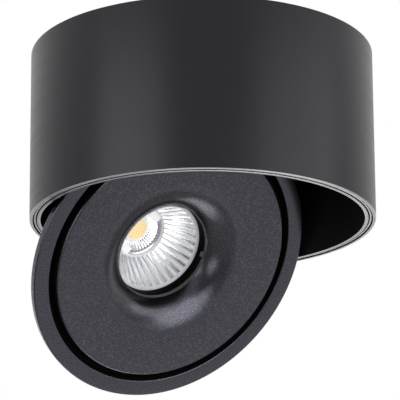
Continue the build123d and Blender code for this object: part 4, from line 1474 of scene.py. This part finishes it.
@dataclass
class SpotHead:
    """Outer ring, groove, flared face, lip tube and the head's screws."""

    radius: float = 62.1
    edge_steps: int = 6
    ring_bore: float = 55.35
    ring_edge: float = 3.0
    ring_round: float = 0.55
    ring_bend: float = 0.8
    ring_back: float = 6.4
    web_bore: float = 51.45
    groove_depth: float = 5.0
    groove_start: float = 1.0
    face_radius: float = 52.3
    face_rise: float = 0.9
    face_round: float = 1.0
    face_flat: float = 5.0
    face_wall: float = 2.0
    face_flange: float = 1.5
    face_corner: float = 0.8
    face_bend: float = 2.0
    flare_radius: float = 35.5
    flare_steps: int = 32
    funnel_radius: float = 20.39
    funnel_depth: float = 6.68
    funnel_back: float = 8.0
    tube_radius: float = 21.1
    tube_bore: float = 20.04
    tube_end: float = 19.8
    tube_back: float = 12.6
    tube_flange: float = 24.3
    sink_front: float = 9.5
    sink_flange: float = 2.0
    nib: tuple[float, float, float] = (0.8, 2.2, 1.0)
    nib_angle: float = -6.0
    nib_root: float = 0.2
    lug_radius: float = 47.75
    lug_half: float = 3.1
    lug_root: float = 1.0
    lug_boss: float = 2.7
    lug_angles: tuple[float, ...] = (90.0, 210.0, 330.0)
    ear_radius: float = 40.0
    ear_angles: tuple[float, ...] = (60.0, 120.0, 240.0, 300.0)
    foot_x: float = 39.5
    foot_y: tuple[float, float] = (-10.6, 6.6)
    foot_wall: float = 1.5
    seat: float = 6.5
    large_boss: float = 3.5
    boss_foot: float = 1.0
    screw: Fastener = Fastener(
        head_radius=2.7, head_height=2.0, socket_radius=1.3, shank_radius=1.5, shank_length=3.4,
        tail_radius=1.2, tail_height=0.2)

    def build(self, frame: Matrix, finishes: Finishes, fasteners: FastenerTree) -> None:
        """Build the head's outer pieces and its screws.

        Args:
            frame: Frame of the tilted head.
            finishes: Materials.
            fasteners: Tree for the screws.
        """
        self._ring(frame, finishes)
        self._face(frame, finishes)
        self._tube(frame, finishes)
        self._screws(frame, finishes, fasteners)

    def _ring(self, frame: Matrix, finishes: Finishes) -> None:
        """Outer ring with eased edges, a tapered back and lugs behind the groove.

        Args:
            frame: Frame of the tilted head.
            finishes: Materials.
        """
        taper = self.radius - (self.ring_back - self.ring_edge)
        outline = rounded([
            (self.ring_bore, 0, self.ring_round), (self.radius, 0, self.ring_round),
            (self.radius, self.ring_edge, self.ring_bend), (taper, self.ring_back, self.ring_bend),
            (self.web_bore, self.ring_back, EASED_EDGE), (self.web_bore, self.groove_depth, EASED_EDGE),
            (self.ring_bore, self.groove_depth, SOFT_EDGE)], self.edge_steps)
        low = (self.lug_radius - self.lug_half, -self.lug_half, self.groove_depth)
        high = (self.web_bore + self.lug_root, self.lug_half, self.ring_back)
        lugs = [block(low, high, SOFT_EDGE, angle) for angle in self.lug_angles]
        # The ring's faces inside the groove get the painted shade of the groove finish
        piece = place_piece("outer_ring", [lathe(outline, Segments.LARGE)] + lugs, frame,
                            finishes.of(Finishes.COAT, Finishes.GROOVE_PAINTED_SHADE), self._ring_zone)
        fit(piece, Body.HEAD, Finishes.COAT.slot, "bezel_ring")

    def _ring_zone(self, middle: Vector) -> int:
        """Finish of a face of the ring: coat, or painted shade on the groove side."""
        return int(middle.xy.length < self.ring_bore + ZONE_PLAY and middle.z > self.groove_start)

    def _flare(self) -> Outline:
        """Front curve of the funnel: one arc from the flat face down to the lip.

        Returns:
            Points of radius and depth.
        """
        rise, run = self.funnel_depth + self.face_rise, self.flare_radius - self.funnel_radius
        steepest = 2 * math.atan(rise / run)
        bend = run / math.sin(steepest)
        angles = [steepest * step / self.flare_steps for step in range(self.flare_steps + 1)]
        radii = [self.flare_radius - bend * math.sin(angle) for angle in angles]
        depths = [bend * (1 - math.cos(angle)) - self.face_rise for angle in angles]
        return list(zip(radii, depths))

    def _face(self, frame: Matrix, finishes: Finishes) -> None:
        """Face disc with an eased edge, the funnel, the pale wall of its lip and bosses behind.

        Args:
            frame: Frame of the tilted head.
            finishes: Materials.
        """
        flange = self.face_radius - self.face_flange
        flare = self._flare()
        middle = flare[len(flare) // 2]
        front = -self.face_rise
        half_wall = self.face_wall / 2
        edge = rounded([
            (self.flare_radius + self.face_flat, front, 0), (self.face_radius, front, self.face_round),
            (self.face_radius, self.groove_depth, FINE_EDGE), (flange, self.groove_depth, FINE_EDGE),
            (flange, self.face_wall, self.face_corner),
            (self.flare_radius + half_wall, self.face_wall, self.face_bend),
            (middle[0] + half_wall, middle[1] + self.face_wall, self.face_bend),
            (self.funnel_radius + self.face_wall, self.funnel_back, EASED_EDGE),
            (self.funnel_radius, self.funnel_back, 0)], self.edge_steps)
        outline = edge + list(reversed(flare))
        bosses = [post(on_circle(self.lug_radius, angle), self.lug_boss, self.boss_foot, self.groove_depth)
                  for angle in self.lug_angles]
        bosses += [post(on_circle(self.ear_radius, angle), self.large_boss, self.boss_foot, self.sink_front)
                   for angle in self.ear_angles]
        bosses += [post((side * self.foot_x, y), self.large_boss, self.boss_foot, self.seat)
                   for side in (-1, 1) for y in self.foot_y]
        # The disc's outer wall inside the groove gets the painted shade of the groove finish
        piece = place_piece("face_disc", [lathe(outline, Segments.LARGE)] + bosses, frame,
                            finishes.of(Finishes.COAT, Finishes.GROOVE_PAINTED_SHADE, Finishes.LIP), self._face_zone)
        fit(piece, Body.HEAD, Finishes.COAT.slot, "face_plate")

    def _face_zone(self, middle: Vector) -> int:
        """Finish of a face of the disc: coat, painted shade on the groove side, or lip.

        Args:
            middle: Middle of the face.

        Returns:
            Place of the finish in the piece's list.
        """
        radius = middle.xy.length
        if radius < self.funnel_radius + ZONE_PLAY and middle.z > self.funnel_depth:
            return 2
        return int(radius > self.face_radius - ZONE_PLAY and middle.z > self.groove_start)

    def _tube(self, frame: Matrix, finishes: Finishes) -> None:
        """Black recess wall behind the lip, with a pale front edge and one locking nib.

        Args:
            frame: Frame of the tilted head.
            finishes: Materials.
        """
        front = self.funnel_back
        outline = rounded([
            (self.tube_bore, front, FINE_EDGE), (self.tube_flange, front, FINE_EDGE),
            (self.tube_flange, self.sink_front, FINE_EDGE), (self.tube_radius, self.sink_front, FINE_EDGE),
            (self.tube_radius, self.tube_back, FINE_EDGE), (self.tube_end, self.tube_back, FINE_EDGE)])
        depth, width, height = self.nib
        nib = block((self.tube_bore - depth, -width / 2, front),
                    (self.tube_bore + self.nib_root, width / 2, front + height), EASED_EDGE, self.nib_angle)
        piece = place_piece("lip_tube", [lathe(outline, Segments.MIDDLE), nib], frame,
                            finishes.of(Finishes.TUBE, Finishes.LIP),
                            lambda middle: int(middle.z < front + height))
        fit(piece, Body.HEAD, Finishes.TUBE.slot, "baffle_tube")

    def _screws(self, frame: Matrix, finishes: Finishes, fasteners: FastenerTree) -> None:
        """Screws behind the face, in three sets.

        Args:
            frame: Frame of the tilted head.
            finishes: Materials.
            fasteners: Tree for the screws.
        """
        back = Vector((0, 0, 1))
        lugs = [(Vector((*on_circle(self.lug_radius, angle), self.ring_back)), back)
                for angle in self.lug_angles]
        ears = [(Vector((*on_circle(self.ear_radius, angle), self.sink_front + self.sink_flange)), back)
                for angle in self.ear_angles]
        feet = [(Vector((side * self.foot_x, y, self.seat + self.foot_wall)), back)
                for side in (-1, 1) for y in self.foot_y]
        for name, node, places, kind in (("ring_screw_set", "bezel_screws", lugs, Finishes.BLACK_STEEL),
                                         ("sink_screw_set", "sink_screws", ears, Finishes.BLACK_STEEL),
                                         ("foot_screw_set", "quadrant_screws", feet, Finishes.ZINC)):
            piece = fasteners.stand(name, places, frame, self.screw, finishes.of(kind)[0])
            fit(piece, Body.HEAD, kind.slot, node)


@dataclass
class LightEngine:
    """Fluted reflector, LED and its holder."""

    rim_level: float = 12.75
    rim_radius: float = 18.4
    neck_radius: float = 11.0
    depth: float = 14.4
    wall: float = 0.8
    flange_radius: float = 21.05
    flange_wall: float = 1.0
    flange_lap: float = 0.05
    flange_slope: float = 0.2
    flutes: int = 36
    flute_depth: float = 0.5
    pillows: int = 26
    pillow_height: float = 0.025
    holder_radius: float = 17.5
    holder_bore: float = 10.5
    holder_low: float = 27.3
    holder_top: float = 32.5
    holder_edge: float = 0.5
    holder_ledge: float = 0.9
    pad: tuple[float, float, float] = (3.2, 6.0, 0.8)
    pad_angle: float = -63.0
    pad_edge: float = 0.25
    neck_lip: tuple[float, float] = (10.75, 0.3)
    neck_lap: float = 0.3
    cone_low: float = 28.2
    cone_radius: float = 8.4
    cone_neck: float = 5.7
    cone_depth: float = 2.9
    cone_facets: int = 40
    cone_rows: int = 4
    cone_pillow: float = 0.05
    neck_groove: tuple[float, float, float] = (9.15, 10.45, 0.45)
    neck_groove_round: float = 0.4
    board_level: float = 31.2
    board_play: float = 0.1
    phosphor_radius: float = 4.55
    phosphor_wall: float = 0.15
    phosphor_dome: float = 0.04
    dome_shares: tuple[float, ...] = (0.0, 0.4, 0.7, 0.9, 1.0)
    dam_bore: float = 4.6
    dam_width: float = 0.7
    dam_wall: float = 0.25

    def build(self, frame: Matrix, finishes: Finishes, flutes: FluteTree) -> None:
        """Build the reflector and what shows through its neck.

        Args:
            frame: Frame of the tilted head.
            finishes: Materials.
            flutes: Tree for the bowl.
        """
        self._reflector(frame, finishes, flutes)
        self._neck(frame, finishes, flutes)
        self._holder(frame, finishes)
        self._led(frame, finishes)

    def _bowl(self, name: str, flutes: FluteTree, sizes: dict[str, Any], material: bpy.types.Material
              ) -> bpy.types.Object:
        """Fluted shell with its wall outside, in the tree's own frame.

        Args:
            name: Name of the piece.
            flutes: Tree for the bowl.
            sizes: Sizes of the tree.
            material: Material of the shell.

        Returns:
            The shell as a plain mesh.
        """
        piece = place_piece(name, [], Matrix.Identity(4), [material])
        modifier = piece.modifiers.new("flutes", "NODES")
        modifier.node_group = flutes.tree
        set_inputs(modifier, {**sizes, "Material": material})
        shell = piece.modifiers.new("wall", "SOLIDIFY")
        shell.thickness = self.wall
        shell.offset = 1.0
        freeze(piece)
        return piece

    def _reflector(self, frame: Matrix, finishes: Finishes, flutes: FluteTree) -> None:
        """Fluted bowl with a plain rim flange and a rolled edge at its neck.

        Args:
            frame: Frame of the tilted head.
            finishes: Materials.
            flutes: Tree for the bowl.
        """
        shades = finishes.of(Finishes.MIRROR, Finishes.FLANGE)
        bowl = self._bowl("fluted_reflector", flutes, {
            "Flutes": self.flutes, "Pillows": self.pillows, "Rim Radius": self.rim_radius,
            "Neck Radius": self.neck_radius, "Depth": self.depth, "Flute Depth": self.flute_depth,
            "Pillow Height": self.pillow_height}, shades[0])
        flange = rounded([
            (self.rim_radius - self.flange_lap, 0, FINE_EDGE), (self.flange_radius, 0, FINE_EDGE),
            (self.flange_radius, self.flange_wall, FINE_EDGE),
            (self.rim_radius + self.flange_slope, self.flange_wall, HAIR_EDGE)])
        bore, wall = self.neck_lip
        low, outer = self.depth - wall, self.neck_radius + self.neck_lap
        edge = rounded([(bore, low, FINE_EDGE), (outer, low, FINE_EDGE), (outer, self.depth, HAIR_EDGE),
                        (bore, self.depth, HAIR_EDGE)])
        rings = [lathe(outline, Segments.MIDDLE) for outline in (flange, edge)]
        turned = place_piece("turned_edges", rings, Matrix.Identity(4), shades, lambda middle: 1)
        self._finish(bowl, turned, frame @ Matrix.Translation((0, 0, self.rim_level)), shades)
        fit(bowl, Body.HEAD, Finishes.MIRROR.slot, "reflector")

    def _finish(self, bowl: bpy.types.Object, extra: bpy.types.Object, frame: Matrix,
                materials: Sequence[bpy.types.Material]) -> None:
        """Join a turned piece to a shell and put both in place.

        Args:
            bowl: Shell that takes the other piece in.
            extra: Piece that is used up.
            frame: Place of both.
            materials: Materials of both; the shell takes the first.
        """
        bowl.data.materials.clear()
        whole = bmesh.new()
        whole.from_mesh(bowl.data)
        whole.from_mesh(extra.data)
        whole.to_mesh(bowl.data)
        whole.free()
        bpy.data.objects.remove(extra)
        for material in materials:
            bowl.data.materials.append(material)
        bowl.data.transform(frame)
        smooth(bowl.data)

    def _neck(self, frame: Matrix, finishes: Finishes, flutes: FluteTree) -> None:
        """Small bright cone of many facets, with a grey groove round it, behind the holder's pads.

        Args:
            frame: Frame of the tilted head.
            finishes: Materials.
            flutes: Tree for the bowl.
        """
        bright, grey = finishes.of(Finishes.MIRROR, Finishes.NECK)
        cone = self._bowl("neck_cone", flutes, {
            "Flutes": self.cone_facets, "Pillows": self.cone_rows, "Rim Radius": self.cone_radius,
            "Neck Radius": self.cone_neck, "Depth": self.cone_depth, "Flute Depth": self.flute_depth / 2,
            "Pillow Height": self.cone_pillow}, bright)
        inner, outer, hollow = self.neck_groove
        outline = rounded([
            (inner, 0, FINE_EDGE), ((inner + outer) / 2, hollow, self.neck_groove_round),
            (outer, 0, FINE_EDGE), (outer, 2 * hollow, FINE_EDGE), (inner, 2 * hollow, FINE_EDGE)])
        groove = place_piece("neck_groove", [lathe(outline, Segments.MIDDLE)], Matrix.Identity(4),
                             [bright, grey], lambda middle: 1)
        self._finish(cone, groove, frame @ Matrix.Translation((0, 0, self.cone_low)), [bright, grey])
        fit(cone, Body.HEAD, Finishes.MIRROR.slot, "neck_ring")

    def _holder(self, frame: Matrix, finishes: Finishes) -> None:
        """White holder with two flat pads that reach into the neck.

        Args:
            frame: Frame of the tilted head.
            finishes: Materials.
        """
        length, width, wall = self.pad
        ledge = self.holder_bore + self.holder_ledge
        shelf = self.board_level - self.board_play
        outline = rounded([
            (self.holder_bore, self.holder_low, SOFT_EDGE),
            (self.holder_radius, self.holder_low, self.holder_edge),
            (self.holder_radius, self.holder_top, EASED_EDGE), (ledge, self.holder_top, FINE_EDGE),
            (ledge, shelf, FINE_EDGE), (self.holder_bore, shelf, FINE_EDGE)])
        low = (self.holder_bore - length, -width / 2, self.holder_low)
        high = (self.holder_bore + wall, width / 2, self.holder_low + wall)
        pads = [block(low, high, self.pad_edge, self.pad_angle + turn) for turn in (0, 180)]
        piece = place_piece("led_holder", [lathe(outline, Segments.SMALL)] + pads, frame,
                            finishes.of(Finishes.WHITE))
        fit(piece, Body.HEAD, Finishes.WHITE.slot, "cob_holder")

    def _led(self, frame: Matrix, finishes: Finishes) -> None:
        """Domed phosphor patch and the dam round it.

        Args:
            frame: Frame of the tilted head.
            finishes: Materials.
        """
        top = self.board_level
        low = top - self.phosphor_wall
        crown = [(self.phosphor_radius * share, low - self.phosphor_dome * (1 - share * share))
                 for share in self.dome_shares]
        patch_outline = crown + [(self.phosphor_radius, top), (0, top)]
        patch = place_piece("phosphor_patch", [lathe(patch_outline, Segments.SMALL)], frame,
                            finishes.of(Finishes.PHOSPHOR))
        fit(patch, Body.HEAD, Finishes.PHOSPHOR.slot, "cob_phosphor")
        outer = self.dam_bore + self.dam_width
        crest = top - self.dam_wall
        dam_outline = rounded([(self.dam_bore, top, 0), (self.dam_bore, crest, EASED_EDGE),
                               (outer, crest, EASED_EDGE), (outer, top, 0)])
        dam = place_piece("phosphor_dam", [lathe(dam_outline, Segments.SMALL)], frame,
                          finishes.of(Finishes.DAM))
        fit(dam, Body.HEAD, Finishes.DAM.slot, "cob_dam")


class InnerNodes:
    """Packed nodes that keep their own shape and get a finish."""

    FINISHES: dict[Finish, tuple[str, ...]] = {
        Finishes.ZINC: ("stop_stud", "swivel_bush", "swivel_nut", "disc_spring", "driver_screws",
                        "holder_screws"),
        Finishes.BLACK_STEEL: ("tilt_bracket_right", "tilt_bracket_left", "quadrant_right",
                               "quadrant_left"),
        Finishes.NYLON: ("friction_washer", "glide_washers"),
        Finishes.WHITE: ("driver_case", "driver_cover", "terminal_block"),
        Finishes.BRASS: ("terminal_screws",),
        Finishes.BOARD: ("cob_board",),
        Finishes.PAD: ("thermal_pad",),
        Finishes.SINK: ("heat_sink",),
    }

    def dress(self, nodes: dict[str, bpy.types.Object], finishes: Finishes) -> None:
        """Give each node its material.

        Args:
            nodes: Packed nodes by name.
            finishes: Materials.
        """
        for kind, names in self.FINISHES.items():
            for name in names:
                nodes[name].data.materials.clear()
                nodes[name].data.materials.append(finishes.of(kind)[0])
                LOG.info("%s: %s", name, kind.name)


# Studio


@dataclass(frozen=True)
class SoftBox:
    """Rectangular lamp that looks at the object.

    Attributes:
        name: Name of the lamp.
        toward: Direction from the object to the lamp.
        distance: Distance in metres.
        size: Width and height in metres.
        watts: Power.
    """

    name: str
    toward: tuple[float, float, float]
    distance: float
    size: tuple[float, float]
    watts: float

    def stand(self, aim: Vector) -> None:
        """Place the lamp so that it looks at a point.

        Args:
            aim: Point that the lamp looks at.
        """
        lamp = bpy.data.lights.new(self.name, "AREA")
        lamp.shape = "RECTANGLE"
        lamp.size, lamp.size_y = self.size
        lamp.energy = self.watts
        holder = bpy.data.objects.new(self.name, lamp)
        way = Vector(self.toward).normalized()
        holder.location = aim + way * self.distance
        holder.rotation_euler = way.to_track_quat("Z", "Y").to_euler()
        holder.visible_camera = False
        bpy.context.scene.collection.objects.link(holder)


@dataclass
class Studio:
    """Camera, soft lamps, pale floor and white background."""

    camera_at: tuple[float, float, float] = (-693.63, -916.01, -423.77)
    camera_aim: tuple[float, float, float] = (-0.946, 0.521, -61.424)
    roll_deg: float = -0.358
    lens: float = 267.67
    sensor: float = 36.0
    sight: float = 50.0
    floor_level: float = -1.6
    floor_half: float = 6.0
    floor_tones: tuple[float, float] = (0.86, 0.9)
    floor_patches: float = 3.0
    floor_roughness: float = 0.9
    ambient: float = 0.40
    lamp_aim: tuple[float, float, float] = (0, 0, -0.08)
    lamps: tuple[SoftBox, ...] = (
        SoftBox("left_softbox", (-0.99, -0.10, 0.09), 1.4, (1.1, 1.1), 10.6),
        SoftBox("right_softbox", (0.46, -0.86, 0.24), 1.4, (1.5, 0.7), 6.0),
        SoftBox("front_softbox", (0.07, -0.95, -0.29), 1.4, (1.15, 0.9), 12.0),
        SoftBox("low_softbox", (0.55, -0.52, -0.66), 1.4, (1.3, 1.3), 3.4),
        SoftBox("near_softbox", (-0.67, -0.41, -0.62), 1.4, (0.42, 0.42), 1.7),
        SoftBox("back_softbox", (0.45, 0.42, -0.79), 1.4, (0.5, 1.2), 4.7),
    )

    def build(self) -> None:
        """Build the whole studio."""
        self._camera()
        self._floor()
        self._background()
        for lamp in self.lamps:
            lamp.stand(Vector(self.lamp_aim))
        bpy.context.scene.view_settings.view_transform = "Standard"

    def _camera(self) -> None:
        """Camera at the photograph's place and angle."""
        data = bpy.data.cameras.new("photo_camera")
        data.lens = self.lens
        data.sensor_width = self.sensor
        data.sensor_fit = "HORIZONTAL"
        data.clip_end = self.sight
        camera = bpy.data.objects.new("photo_camera", data)
        at, aim = Vector(self.camera_at) * MM, Vector(self.camera_aim) * MM
        forward = (aim - at).normalized()
        right = forward.cross(Vector((0, 0, 1))).normalized()
        up = right.cross(forward)
        cos, sin = math.cos(math.radians(self.roll_deg)), math.sin(math.radians(self.roll_deg))
        axes = Matrix((right * cos + up * sin, up * cos - right * sin, -forward)).transposed()
        camera.matrix_world = Matrix.Translation(at) @ axes.to_4x4()
        bpy.context.scene.collection.objects.link(camera)
        bpy.context.scene.camera = camera

    def _floor(self) -> None:
        """Plain pale floor, well below the lamp."""
        mesh = bpy.data.meshes.new("floor")
        half = self.floor_half
        corners = [(x * half, y * half, self.floor_level)
                   for x, y in ((-1, -1), (1, -1), (1, 1), (-1, 1))]
        mesh.from_pydata(corners, [], [(0, 1, 2, 3)])
        material = bpy.data.materials.new("floor_pale")
        material.use_nodes = True
        sketch = NodeSketch(material.node_tree)
        shader = material.node_tree.nodes["Principled BSDF"]
        shader.inputs["Roughness"].default_value = self.floor_roughness
        place = sketch.node("ShaderNodeTexCoord").outputs["Object"]
        dark, pale = ((tone, tone, tone, 1.0) for tone in self.floor_tones)
        patches = sketch.noise(place, self.floor_patches, detail=3.0)
        sketch.feed(shader.inputs["Base Color"], sketch.mixed(patches, dark, pale))
        mesh.materials.append(material)
        floor = bpy.data.objects.new("floor", mesh)
        bpy.context.scene.collection.objects.link(floor)

    def _background(self) -> None:
        """World that is white to the camera and in reflections, and soft ambient light elsewhere."""
        world = bpy.data.worlds.new("white_background")
        world.use_nodes = True
        bpy.context.scene.world = world
        sketch = NodeSketch(world.node_tree)
        plain = world.node_tree.nodes["Background"]
        plain.inputs["Color"].default_value = (1.0, 1.0, 1.0, 1.0)
        plain.inputs["Strength"].default_value = self.ambient
        white = sketch.node("ShaderNodeBackground")
        white.inputs["Color"].default_value = (1.0, 1.0, 1.0, 1.0)
        white.inputs["Strength"].default_value = 1.0
        path = sketch.node("ShaderNodeLightPath").outputs
        seen = sketch.math("MAXIMUM", path["Is Camera Ray"], path["Is Glossy Ray"])
        seen = sketch.math("MAXIMUM", seen, path["Is Transmission Ray"])
        chosen = sketch.node("ShaderNodeMixShader")
        sketch.feed(chosen.inputs[0], seen)
        sketch.feed(chosen.inputs[1], plain.outputs[0])
        sketch.feed(chosen.inputs[2], white.outputs[0])
        sketch.feed(world.node_tree.nodes["World Output"].inputs["Surface"], chosen.outputs[0])


def main() -> None:
    """Build the lamp round the packed frame and light it."""
    logging.basicConfig(level=logging.INFO, format="%(name)s: %(message)s")
    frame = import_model()
    placement = Placement.from_joints(frame["joints"])
    finishes = Finishes(placement)
    fasteners = FastenerTree()
    Studio().build()
    DrumHousing().build(placement.drum(), finishes, fasteners)
    TurningCup().build(placement.drum(), finishes, fasteners)
    SpotHead().build(placement.head(), finishes, fasteners)
    LightEngine().build(placement.head(), finishes, FluteTree())
    InnerNodes().dress(frame["nodes"], finishes)


if __name__ == "__main__":
    main()
